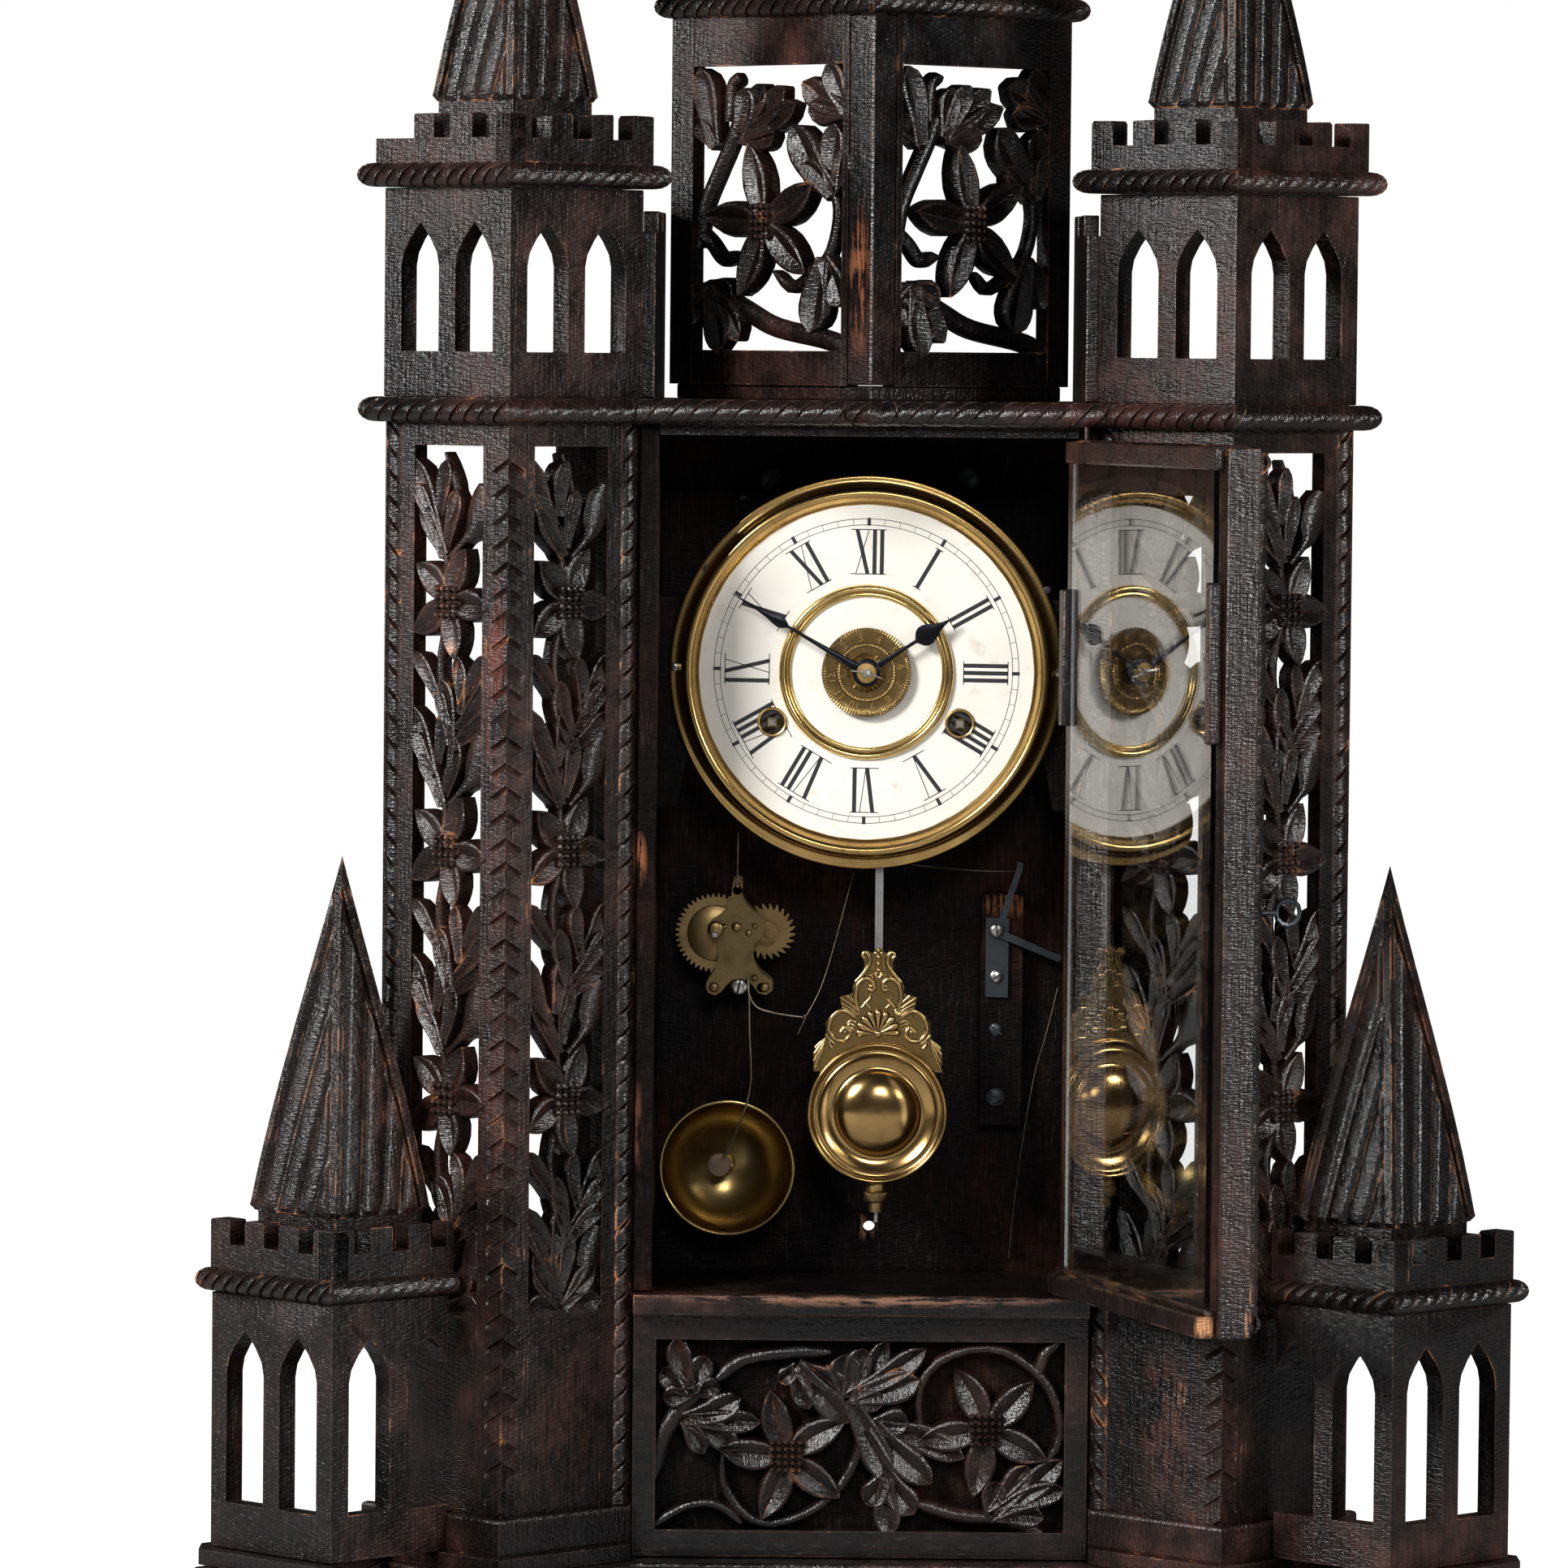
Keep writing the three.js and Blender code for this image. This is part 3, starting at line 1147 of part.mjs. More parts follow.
function stripBoard() {
  const slat = board(rectangle(strip.left, strip.right, strip.low, strip.high), strip.thick - gap);
  return slat.translate(0, boxBack - strip.thick, 0);
}

function leverPlateSheet() {
  const y = boxBack - strip.thick - gap;
  const sheet = board(rectangle(leverPlate.left, leverPlate.right, leverPlate.low, leverPlate.high),
    leverPlate.thick).translate(0, y - leverPlate.thick, 0);
  const stud = rodY(lever.x, lever.z, lever.pivot, y - leverPlate.thick - lever.thick - 3 * gap,
    y - gap, 14);
  const washer = rodY(lever.x, lever.z, lever.pivot * 1.6, y - leverPlate.thick - lever.thick - 5 * gap,
    y - leverPlate.thick - lever.thick - 2 * gap, 14);
  return joined(sheet, stud, washer);
}

const leverArms = [[66.7, 311.5], [82.5, 273.4]];

function crankLever() {
  const y = boxBack - strip.thick - leverPlate.thick - lever.thick - 2 * gap;
  const arms = leverArms.map(([x, z]) =>
    board(stemOutline([point(lever.x, lever.z), point(x, z)], lever.wide, 1), lever.thick));
  const ends = leverArms.map(([x, z]) => board(circle(x, z, lever.wide * 0.7, 10), lever.thick));
  const hub = board(circle(lever.x, lever.z, lever.wide, 16), lever.thick);
  const bore = board(circle(lever.x, lever.z, lever.pivot + running, 14), lever.thick + 2 * overrun)
    .translate(0, -overrun, 0);
  return cut(joined(hub, arms, ends), bore).translate(0, y, 0);
}

// Assembly

const clock = new THREE.Group();

function add(name, geometry, material) {
  const mesh = new THREE.Mesh(outward(geometry), material);
  mesh.name = name;
  clock.add(mesh);
}

// Adds a piece of the right-hand side and its mirror image on the left
function addPair(name, geometry, material) {
  add(`${name}_right`, geometry, material);
  add(`${name}_left`, mirrored(geometry), material);
}

const leftHand = (form) => ({ ...form, x: -form.x });
const turretTop = deckTop + turret.high;
const sideFoot = ledgeTop + 2 * gap;
const sideTop = sideFoot + sideTurret.high;
const lanternTop = deckTop + lantern.high;

add('base_board', baseBoard(), ebonised);
addPair('tower_plinth', towerPlinth(), ebonised);
add('back_board', backBoard(), boxWood);
addPair('box_side', boxSide(), boxWood);
add('box_floor', boxFloor(), boxWood);
add('lower_front', lowerFrontBoard(), ebonised);
add('lower_backing', lowerBacking(), boxWood);
add('main_deck', mainDeck(), ebonised);

// Tower boards. Every pierced panel reads the same way from outside, so they aren't mirrored
[['left', leftHand(tower)], ['right', tower]].forEach(([side, form]) => {
  add(`corner_post_${side}`, cornerPost(form, cornerArm, fretThick, plinthSeat(), deckLevel), ebonised);
  const shift = new THREE.Matrix4().makeTranslation(cornerArm + gap, 0, 0);
  const onLeft = towerPanel(false).applyMatrix4(leftFace(form));
  const onRight = towerPanel(true).applyMatrix4(rightFace(form).multiply(shift));
  const [outer, inner] = side === 'left' ? [onLeft, onRight] : [onRight, onLeft];
  add(`outer_fret_${side}`, outer, ebonised);
  add(`inner_fret_${side}`, clearOfBox(inner, form), ebonised);
});

function plinthSeat() {
  return ledgeTop + 2 * gap;
}

// The inner panel's edge is mitred against the box side
function clearOfBox(geometry, form) {
  const side = Math.sign(form.x);
  const inside = side * (boxOuter + gap);
  const keep = slab(rectangle(Math.min(inside, side * backHalf * 2), Math.max(inside, side * backHalf * 2),
    tower.front * 2, caseBack), 0, deckTop);
  return kept(geometry, keep);
}

add('turret_walls_right', turretWalls(turret, deckTop), ebonised);
add('turret_walls_left', turretWalls(leftHand(turret), deckTop), ebonised);
add('turret_crown_right', crown(turret, turretTop), ebonised);
add('turret_crown_left', crown(leftHand(turret), turretTop, [0]), ebonised);
addPair('turret_spire', spire(turret, smallSpire, turretTop + corniceThick), ebonised);
addPair('side_turret_walls', sideTurretWalls(sideFoot), ebonised);
addPair('side_turret_crown', crown(sideTurret, sideTop, [], sideClip(sideTop)), ebonised);
addPair('side_turret_spire', spire(sideTurret, sideSpire, sideTop + corniceThick), ebonised);

const lanternShift = new THREE.Matrix4().makeTranslation(lanternRail.arm + gap, 0, 0);
add('lantern_base', slab(veePlan(lantern, fretThick + plinthProud, lantern.half - 3), deckTop,
  deckTop + lanternRail.base), ebonised);
add('lantern_post', cornerPost(lantern, lanternRail.arm, fretThick, deckTop + lanternRail.base,
  lanternTop), ebonised);
add('lantern_fret_left', lanternPanel(false).applyMatrix4(leftFace(lantern)), ebonised);
add('lantern_fret_right', lanternPanel(true)
  .applyMatrix4(rightFace(lantern).multiply(lanternShift)), ebonised);
add('lantern_crown', lanternCrown(lanternTop), ebonised);
const greatSpireForm = { x: 0, front: caseBack - 2 * greatSpire.half, half: greatSpire.half };
add('lantern_spire', spire(greatSpireForm, greatSpire, lanternTop + corniceThick), ebonised);
addPair('curtain_wall', curtainWall(), ebonised);

add('door_frame', doorFrame(), ebonised);
add('door_glass', doorGlass(), clearGlass);
add('door_eye', doorEye(), steel);

add('dial_pan', dialPan(), brass);
add('dial_plate', dialPlate(), paper);
add('dial_ring', dialRing(), brass);
add('alarm_disc', alarmDisc(), brass);
add('hour_hand', hourHand(), blued);
add('minute_hand', minuteHand(), blued);
add('movement_frame', movementFrame(), brass);
add('time_wheel', windingWheel(1), brass);
add('strike_wheel', windingWheel(-1), brass);

add('pendulum_rod', pendulumRod(), steel);
add('pendulum_bob', pendulumBob(), brass);
add('rating_nut', ratingNut(), brass);

add('bell', bellDish(), brass);
add('alarm_frame', alarmFrame(), brass);
add('alarm_main_wheel', alarmMainWheel(), brass);
add('alarm_escape_wheel', alarmEscapeWheel(), brass);
add('alarm_hammer', alarmHammer(), brass);
add('strip_board', stripBoard(), boxWood);
add('lever_plate', leverPlateSheet(), steel);
add('crank_lever', crankLever(), steel);

export default clock;
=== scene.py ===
# Steeple clock: the looks of the carved case, the dial and the works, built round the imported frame.
# Lengths in the tables are in millimetres, in the frame's directions: +X right, -Y front, +Z up.
import math
import random

import bmesh
import bpy
from mathutils import Matrix, Vector, noise


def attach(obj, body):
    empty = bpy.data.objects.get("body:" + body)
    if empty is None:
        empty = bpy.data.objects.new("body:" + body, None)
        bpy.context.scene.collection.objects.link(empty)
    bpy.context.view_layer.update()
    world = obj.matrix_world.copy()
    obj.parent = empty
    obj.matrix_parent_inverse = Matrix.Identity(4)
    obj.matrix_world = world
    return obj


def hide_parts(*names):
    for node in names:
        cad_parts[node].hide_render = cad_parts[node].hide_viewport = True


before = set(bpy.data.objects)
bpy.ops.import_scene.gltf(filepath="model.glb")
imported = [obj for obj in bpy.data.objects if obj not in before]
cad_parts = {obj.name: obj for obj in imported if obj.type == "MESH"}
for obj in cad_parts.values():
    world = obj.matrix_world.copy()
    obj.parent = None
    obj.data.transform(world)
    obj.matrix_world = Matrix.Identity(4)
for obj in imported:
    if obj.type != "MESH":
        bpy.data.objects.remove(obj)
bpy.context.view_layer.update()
MM = 0.001
RAD = math.radians
# Thickness of the pierced boards
BOARD = 7


# Materials

class Shader:
    """A material's node tree, with short calls for the nodes used here."""

    def __init__(self, name):
        self.material = bpy.data.materials.new(name)
        self.material.use_nodes = True
        self.tree = self.material.node_tree
        self.bsdf = self.tree.nodes["Principled BSDF"]
        self.place = self.node("TexCoord").outputs["Object"]

    def node(self, kind, settings=(), **inputs):
        made = self.tree.nodes.new("ShaderNode" + kind)
        for key, value in dict(settings).items():
            setattr(made, key, value)
        self.fill(made, inputs)
        return made

    def fill(self, node, inputs):
        for key, value in inputs.items():
            self.put(node.inputs[key.replace("_", " ")], value)

    def put(self, socket, value):
        if isinstance(value, bpy.types.NodeSocket):
            self.tree.links.new(value, socket)
        else:
            socket.default_value = value

    def pair(self, kind, operation, a, b):
        made = self.node(kind, {"operation": operation})
        self.put(made.inputs[0], a)
        self.put(made.inputs[1], b)
        return made.outputs

    def math(self, operation, a, b):
        return self.pair("Math", operation, a, b)[0]

    def times(self, a, b):
        return self.math("MULTIPLY", a, b)

    def plus(self, a, b):
        return self.math("ADD", a, b)

    def noise(self, scale, where=None, detail=4.0, rough=0.55):
        return self.node("TexNoise", Vector=where or self.place, Scale=scale, Detail=detail,
                         Roughness=rough).outputs["Fac"]

    def ramp(self, fac, low, high, a=0.0, b=1.0):
        return self.node("MapRange", {"clamp": True}, Value=fac, From_Min=low, From_Max=high,
                         To_Min=a, To_Max=b).outputs["Result"]

    def mix(self, fac, a, b):
        made = self.node("Mix", {"data_type": "RGBA"})
        self.put(made.inputs[0], fac)
        for place, colour in ((6, a), (7, b)):
            self.put(made.inputs[place], (*colour, 1) if isinstance(colour, tuple) else colour)
        return made.outputs[2]

    def edges(self, radius):
        """0 on flat faces, rising towards 1 at edges that are nearer than the radius."""
        bevel = self.node("Bevel", {"samples": 4}, Radius=radius)
        normal = self.node("NewGeometry").outputs["Normal"]
        dot = self.pair("VectorMath", "DOT_PRODUCT", bevel.outputs["Normal"], normal)["Value"]
        return self.ramp(dot, 0.995, 0.75)

    def zone(self, middle, size):
        """1 at a place given in millimetres, falling to 0 over the size on each axis."""
        away = self.pair("VectorMath", "SUBTRACT", self.place, Vector(middle) * MM)[0]
        share = self.pair("VectorMath", "DIVIDE", away, Vector(size) * MM)[0]
        return self.ramp(self.pair("VectorMath", "LENGTH", share, (0, 0, 0))["Value"], 1.0, 0.4)

    def recess(self, reach, low=0.3, high=0.85):
        """0 deep in a recess, 1 on open surfaces."""
        made = self.node("AmbientOcclusion", {"samples": 6}, Distance=reach)
        return self.ramp(made.outputs["AO"], low, high)

    def bump(self, height, distance, strength):
        made = self.node("Bump", Height=height, Distance=distance, Strength=strength)
        self.put(self.bsdf.inputs["Normal"], made.outputs["Normal"])

    def done(self, **inputs):
        self.fill(self.bsdf, {key: (*value, 1) if isinstance(value, tuple) else value
                              for key, value in inputs.items()})
        return self.material


# Where hands and wear have rubbed the black away: middle, size, colour of the bare wood
RUBBED = [
    ((-155.5, -57, 392), (8, 10, 66), (0.070, 0.014, 0.008)),
    ((-6, -20, 563), (6.5, 12, 38), (0.19, 0.065, 0.028)),
    ((-174, -36, 401), (4, 8, 12), (0.36, 0.14, 0.06)),
    ((60, 83, 296), (17, 9, 7), (0.30, 0.11, 0.045)),
    ((-95, -6, 319), (4, 12, 13), (0.28, 0.10, 0.045)),
    ((-95, -8, 205), (3, 10, 26), (0.10, 0.04, 0.022)),
    ((86, -4, 240), (3.2, 10, 100), (0.16, 0.055, 0.028)),
    ((93, -60, 470), (20, 80, 10), (0.05, 0.020, 0.014)),
    ((4, 91, 155), (6.6, 4, 7.2), (0.33, 0.15, 0.08)),
    ((128, -38, 88), (16, 30, 38), (0.045, 0.014, 0.009)),
    ((133, -44, 100), (3, 6, 6), (0.30, 0.13, 0.07)),
    ((-122, -35, 88), (18, 30, 40), (0.032, 0.011, 0.008)),
    ((0, -22, 137), (100, 14, 5), (0.24, 0.12, 0.075)),
    ((0, -18, 123), (92, 8, 7), (0.060, 0.018, 0.011)),
    ((136, -189, 144), (6, 6, 6), (0.50, 0.22, 0.09)),
    ((154, -186, 150), (3, 4, 16), (0.45, 0.20, 0.09)),
]
RED_STAIN = (0.052, 0.016, 0.010)
# Light specks painted into the wood: painted glints on the crackled finish
PAINTED_GLINT_FLECK = (0.060, 0.050, 0.046)
# Lighter colour along the edges: partly wear, partly painted highlight
EDGE_WEAR_AND_HIGHLIGHT = (0.062, 0.037, 0.029)
BARE_EDGE = (0.46, 0.19, 0.075)


def tinted(colour, factor):
    return tuple(factor * c for c in colour)


def wood(name, along, dark, brown, edge_wear_and_highlight=1.0, worn=0.59, rough=0.27, shine=0.45):
    """Black-stained wood: crackled finish, rubbed red-brown, chipped orange at the edges; light
    specks painted in as glints, and lighter edges that are partly wear and partly painted highlight.
    """
    s = Shader(name)

    def streaks(lengthwise, sideways, detail, rough):
        scale = [lengthwise if axis == along else sideways for axis in "xyz"]
        where = s.node("Mapping", Vector=s.place, Scale=scale).outputs["Vector"]
        return s.noise(1.0, where, detail, rough)

    grain = streaks(60, 700, 2.0, 0.6)
    glint_flecks = streaks(150, 1500, 1.0, 0.5)
    crackle = streaks(1100, 260, 2.0, 0.6)
    broad = s.noise(11.0, detail=5.0)
    patches = s.noise(55.0, detail=6.0, rough=0.65)
    base = s.mix(s.ramp(broad, 0.42, 0.72), dark, brown)
    red = s.times(s.ramp(broad, 0.5, 0.62), s.ramp(grain, 0.38, 0.6, 0.2, 0.9))
    base = s.mix(s.times(red, s.ramp(patches, 0.42, 0.6)), base, RED_STAIN)
    base = s.mix(s.ramp(grain, 0.52, 0.8, 0.0, 0.5), base, tinted(brown, 2.1))
    # Light specks along the grain in the base colour: painted glints
    base = s.mix(s.ramp(glint_flecks, 0.62, 0.75, 0.0, 0.3), base, PAINTED_GLINT_FLECK)
    torn = s.ramp(s.plus(s.times(grain, 0.5), s.times(patches, 0.5)), 0.47, 0.54)
    for middle, size, bare in RUBBED:
        base = s.mix(s.times(s.zone(middle, size), torn), base, bare)
    # Every edge lighter: partly wear, partly painted highlight where the edges catch the light
    soft = s.times(s.edges(0.0014), s.ramp(patches, 0.36, 0.56, 0.1, 0.7 * edge_wear_and_highlight))
    base = s.mix(soft, base, EDGE_WEAR_AND_HIGHLIGHT)
    sharp = s.times(s.edges(0.0012), s.ramp(patches, worn, worn + 0.05))
    base = s.mix(sharp, base, BARE_EDGE)
    height = s.plus(s.times(grain, 0.5), s.plus(s.times(crackle, 1.1), s.times(patches, 0.8)))
    s.bump(height, 0.0006, 0.75)
    gloss = s.plus(s.ramp(patches, 0.35, 0.7, rough - 0.1, rough + 0.1),
                   s.ramp(broad, 0.4, 0.7, 0.0, 0.08))
    level = s.times(s.ramp(s.recess(0.005), 0.0, 1.0, 0.25, 1.0), shine)
    return s.done(Base_Color=base, Roughness=gloss, Specular_IOR_Level=level)


def metal(name, bright, dull, low=0.22, high=0.45, spots=0.5, size=60.0, hollow_shade=0.0):
    """Polished metal with uneven patina and small dark spots; if asked, painted shade in its hollows.
    """
    s = Shader(name)
    cloud = s.noise(size, detail=6.0, rough=0.6)
    specks = s.ramp(s.noise(size * 7, detail=3.0), 0.66, 0.74, 0.0, spots)
    base = s.mix(s.ramp(cloud, 0.35, 0.7), bright, dull)
    base = s.mix(specks, base, tinted(dull, 0.35))
    # Hollows darkened by ambient occlusion: painted shade
    if hollow_shade:
        hollow = s.math("SUBTRACT", 1.0, s.recess(0.004, 0.35, 0.9))
        base = s.mix(s.times(hollow, hollow_shade), base, tinted(dull, 0.12))
    s.bump(cloud, 0.0003, 0.25)
    return s.done(Base_Color=base, Metallic=1.0, Roughness=s.ramp(cloud, 0.3, 0.75, low, high))


def paper():
    s = Shader("dial_paper")
    cloud = s.noise(30.0, detail=6.0)
    foxing = s.ramp(s.noise(120.0, detail=5.0), 0.62, 0.8, 0.0, 0.5)
    base = s.mix(s.ramp(cloud, 0.35, 0.7), (0.87, 0.83, 0.755), (0.81, 0.765, 0.68))
    base = s.mix(foxing, base, (0.5, 0.38, 0.22))
    return s.done(Base_Color=base, Roughness=0.75)


def window_glass():
    s = Shader("window_glass")
    s.bump(s.noise(4.0, detail=0.0), 0.0004, 0.05)
    return s.done(Base_Color=(0.97, 0.985, 0.98), Roughness=0.0, Transmission_Weight=1.0, IOR=1.5)


BLACK, BROWN = (0.0019, 0.0016, 0.0017), (0.0105, 0.0048, 0.0039)
UPRIGHT = wood("case_upright", "z", BLACK, BROWN)
LEVEL = wood("case_level", "x", BLACK, BROWN, worn=0.62)
SPIRES = wood("spire_wood", "z", BLACK, BROWN, worn=0.52)
INSIDE = wood("box_inside", "z", (0.0016, 0.0010, 0.0009), (0.0065, 0.0026, 0.0018),
              edge_wear_and_highlight=0.25, worn=0.7, rough=0.5, shine=0.08)
DOOR_WOOD = wood("door_wood", "z", (0.005, 0.0034, 0.0032), (0.020, 0.0095, 0.0078),
                 edge_wear_and_highlight=1.1, worn=0.56)
BEZEL = metal("bezel_brass", (0.72, 0.47, 0.17), (0.36, 0.22, 0.08), 0.16, 0.34, 0.5, 30.0)
# For the crest and the alarm plates, the last argument puts painted shade in the hollows
CREST = metal("crest_brass", (0.72, 0.50, 0.21), (0.34, 0.23, 0.10), 0.15, 0.3, 0.5, 60.0, 1.0)
BRASS_BRIGHT = metal("bright_brass", (0.86, 0.62, 0.26), (0.66, 0.44, 0.16), 0.14, 0.26, 0.3)
STEEL_BRIGHT = metal("bright_steel", (0.62, 0.60, 0.56), (0.40, 0.38, 0.34), 0.22, 0.4, 0.4)
BOB_BRASS = metal("bob_brass", (0.56, 0.355, 0.135), (0.32, 0.20, 0.08), 0.13, 0.26, 0.3, 40.0)
BELL = metal("bell_brass", (0.50, 0.36, 0.14), (0.20, 0.14, 0.06), 0.16, 0.34, 0.4, 30.0)
PLATE = metal("alarm_brass", (0.33, 0.235, 0.105), (0.13, 0.088, 0.042), 0.2, 0.42, 0.8, 90.0, 0.8)
WIRE = metal("wire_steel", (0.36, 0.30, 0.23), (0.19, 0.14, 0.10), 0.3, 0.5, 0.5, 90.0)
IRON = metal("dark_iron", (0.085, 0.095, 0.105), (0.04, 0.045, 0.05), 0.3, 0.55, 0.6, 70.0)
HAMMER = metal("hammer_steel", (0.23, 0.17, 0.12), (0.12, 0.085, 0.06), 0.4, 0.6, 0.5, 70.0)
DISC = metal("disc_brass", (0.34, 0.225, 0.085), (0.17, 0.11, 0.042), 0.22, 0.4, 0.6, 90.0)
BRASS = metal("brass", (0.74, 0.50, 0.20), (0.42, 0.27, 0.10))
# Darker brass for the works, partly painted shade where they lie in shadow
BRASS_DARK_SHADED = metal("dark_brass_with_painted_shade", (0.36, 0.25, 0.105), (0.17, 0.11, 0.05), 0.3, 0.5, 0.8)
STEEL = metal("steel", (0.42, 0.42, 0.42), (0.22, 0.21, 0.20), 0.3, 0.55)
BLUED = metal("blued_steel", (0.025, 0.026, 0.032), (0.012, 0.012, 0.014), 0.25, 0.4, 0.2)
PAPER = paper()
GLASS = window_glass()
# Black for the dial's print, and painted shade in each screw's slot and in the empty nail holes
INK_AND_SHADE = Shader("printing_ink_and_painted_shade").done(Base_Color=(0.012, 0.012, 0.014), Roughness=0.55)


# Mesh tools. Every place is given in millimetres; the meshes themselves are in metres.

SQUARE = ((-1, -1), (1, -1), (1, 1), (-1, 1))


def add(name, data):
    """A new object in the scene."""
    made = bpy.data.objects.new(name, data)
    bpy.context.collection.objects.link(made)
    return made


def circle(count, turn=2 * math.pi):
    """Cosine and sine of evenly spaced angles."""
    return [(math.cos(a), math.sin(a)) for a in (turn * k / count for k in range(count))]


class Form:
    """Gathers the faces of one piece."""

    def __init__(self):
        self.mesh = bmesh.new()

    def outline(self, places):
        """Points joined by edges into a closed line."""
        corners = [self.mesh.verts.new(Vector(p) * MM) for p in places]
        edges = [self.mesh.edges.new(pair) for pair in zip(corners, corners[1:] + corners[:1])]
        return corners, edges

    def sheet(self, places):
        """One flat face inside an outline."""
        return bmesh.ops.contextual_create(self.mesh, geom=self.outline(places)[1])["faces"]

    def loft(self, rings, around=True, wrap=False):
        """Skins rings of points with a grid, then joins its seam and fills its ends."""
        rows = [list(ring) + [ring[0]] * around for ring in rings]
        if wrap:
            rows.append(rows[0])
        laid = bmesh.ops.create_grid(self.mesh, x_segments=len(rows[0]) - 1,
                                     y_segments=len(rows) - 1, size=1)["verts"]
        for vert, place in zip(laid, (p for row in rows for p in row)):
            vert.co = Vector(place) * MM
        if around or wrap:
            self.join(laid)
        if around and not wrap:
            ends = {edge for vert in laid if vert.is_valid
                    for edge in vert.link_edges if edge.is_boundary}
            bmesh.ops.edgeloop_fill(self.mesh, edges=list(ends))

    def join(self, verts):
        """Merges points that fell on one another."""
        bmesh.ops.remove_doubles(self.mesh, verts=verts, dist=0.001 * MM)

    def box(self, low, high, plane=None):
        """A block between two corners, in the frame or in a plane's own directions."""
        at = plane or (lambda u, v, h: Vector((u, v, h)))
        start = Vector(at(0, 0, 0))
        sides = [(Vector(at(*way)) - start) * (b - a)
                 for way, a, b in zip(Matrix.Identity(3), low, high)]
        middle = Vector(at(*((a + b) / 2 for a, b in zip(low, high)))) * MM
        turn = (Matrix(sides).transposed() * MM).to_4x4()
        bmesh.ops.create_cube(self.mesh, size=1, matrix=Matrix.Translation(middle) @ turn)

    def framing(self, plane, start, left, right, end, foot, low, high, top, back=-BOARD, front=0,
                rail_front=0):
        """Two stiles and two rails round an opening."""
        for a, b in ((start, left), (right, end)):
            self.box((a, foot, back), (b, top, front), plane)
        for a, b in ((foot, low), (high, top)):
            self.box((left, a, back), (right, b, rail_front), plane)

    def plate(self, outline, back, front, plane):
        """A flat board cut to an outline: one face, drawn out to the board's thickness."""
        face = self.sheet([plane(u, v, back) for u, v in outline])
        raised = bmesh.ops.extrude_face_region(self.mesh, geom=face)["geom"]
        bmesh.ops.translate(self.mesh,
                            verts=[item for item in raised if isinstance(item, bmesh.types.BMVert)],
                            vec=(Vector(plane(0, 0, front)) - Vector(plane(0, 0, back))) * MM)

    def turned(self, profile, x, z, steps, ripple=None):
        """Turns (radius, depth) points about an axis that runs front to back."""
        already = set(self.mesh.verts)
        line, edges = self.outline([(x, y, z + r) for r, y in profile])
        bmesh.ops.spin(self.mesh, geom=line + edges, cent=Vector((x, 0, z)) * MM, axis=(0, 1, 0),
                       angle=2 * math.pi, steps=steps, use_merge=True)
        spun = [vert for vert in self.mesh.verts if vert not in already]
        for vert in spun if ripple else []:
            across, up = vert.co.x / MM - x, vert.co.z / MM - z
            angle = math.atan2(across, up) % (2 * math.pi)
            vert.co.y += ripple(round(math.hypot(across, up), 3), angle) * MM
        self.join(spun)

    def squared(self, x, z, table, at=lambda x, y, z: (x, y, z)):
        """A square bar that runs front to back: (depth, half width) along it."""
        self.loft([[at(x + a * half, y, z + b * half) for a, b in SQUARE] for y, half in table])

    def tube(self, points, radius, steps, sides=8, taper=None):
        """A round wire along a smooth line."""
        line = curve(points, steps)
        side = None
        rings = []
        for i, place in enumerate(line):
            ahead = (line[min(i + 1, steps)] - line[max(i - 1, 0)]).normalized()
            if side is None:
                side = ahead.orthogonal().normalized()
            side = (side - ahead * side.dot(ahead)).normalized()
            up = ahead.cross(side)
            r = radius * (taper(i / steps) if taper else 1)
            rings.append([place + (side * c + up * s) * r for c, s in circle(sides)])
        self.loft(rings)

    def letters(self, text, size, place, turn, depth, y):
        """Upright lettering in the dial's plane, standing proud of depth y."""
        data = bpy.data.curves.new("letters", "FONT")
        data.body, data.size, data.extrude = text, size * MM, depth * MM
        data.align_x = data.align_y = "CENTER"
        made = bpy.data.objects.new("letters", data)
        mesh = made.to_mesh()
        mesh.transform(Matrix.Translation(Vector((place[0], y, place[1])) * MM)
                       @ Matrix.Rotation(RAD(turn), 4, "Y") @ Matrix.Rotation(RAD(90), 4, "X"))
        self.mesh.from_mesh(mesh)
        made.to_mesh_clear()
        bpy.data.objects.remove(made)
        bpy.data.curves.remove(data)

    def finish(self, name, body, material, slot, replaced=(), sharp=35, smooth=True):
        """Makes the object, rides it on its body and hides the CAD nodes it stands for."""
        bmesh.ops.recalc_face_normals(self.mesh, faces=self.mesh.faces)
        data = bpy.data.meshes.new(name)
        for face in self.mesh.faces:
            face.smooth = smooth
        self.mesh.to_mesh(data)
        self.mesh.free()
        if smooth:
            data.set_sharp_from_angle(angle=RAD(sharp))
        data.materials.append(material)
        made = add(name, data)
        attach(made, body)
        if replaced:
            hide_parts(*replaced)
        return made


def plane(origin, across, out):
    """Maps (across, up, out) on an upright face to the frame."""
    u, n = Vector(across).normalized(), Vector(out).normalized()
    start = Vector(origin)
    return lambda a, v, h=0.0: start + u * a + n * h + Vector((0, 0, v))


def front_face(on_right, x, front, half):
    """A front face of a square tower that is set cornerwise, across from its left edge."""
    if on_right:
        return plane((x, front, 0), (1, 1, 0), (1, -1, 0))
    return plane((x - half, front + half, 0), (1, -1, 0), (-1, -1, 0))


def diamond(x, middle, half):
    """The four corners of such a tower in plan, from its left one round by the front."""
    return [(x - half, middle), (x, middle - half), (x + half, middle), (x, middle + half)]


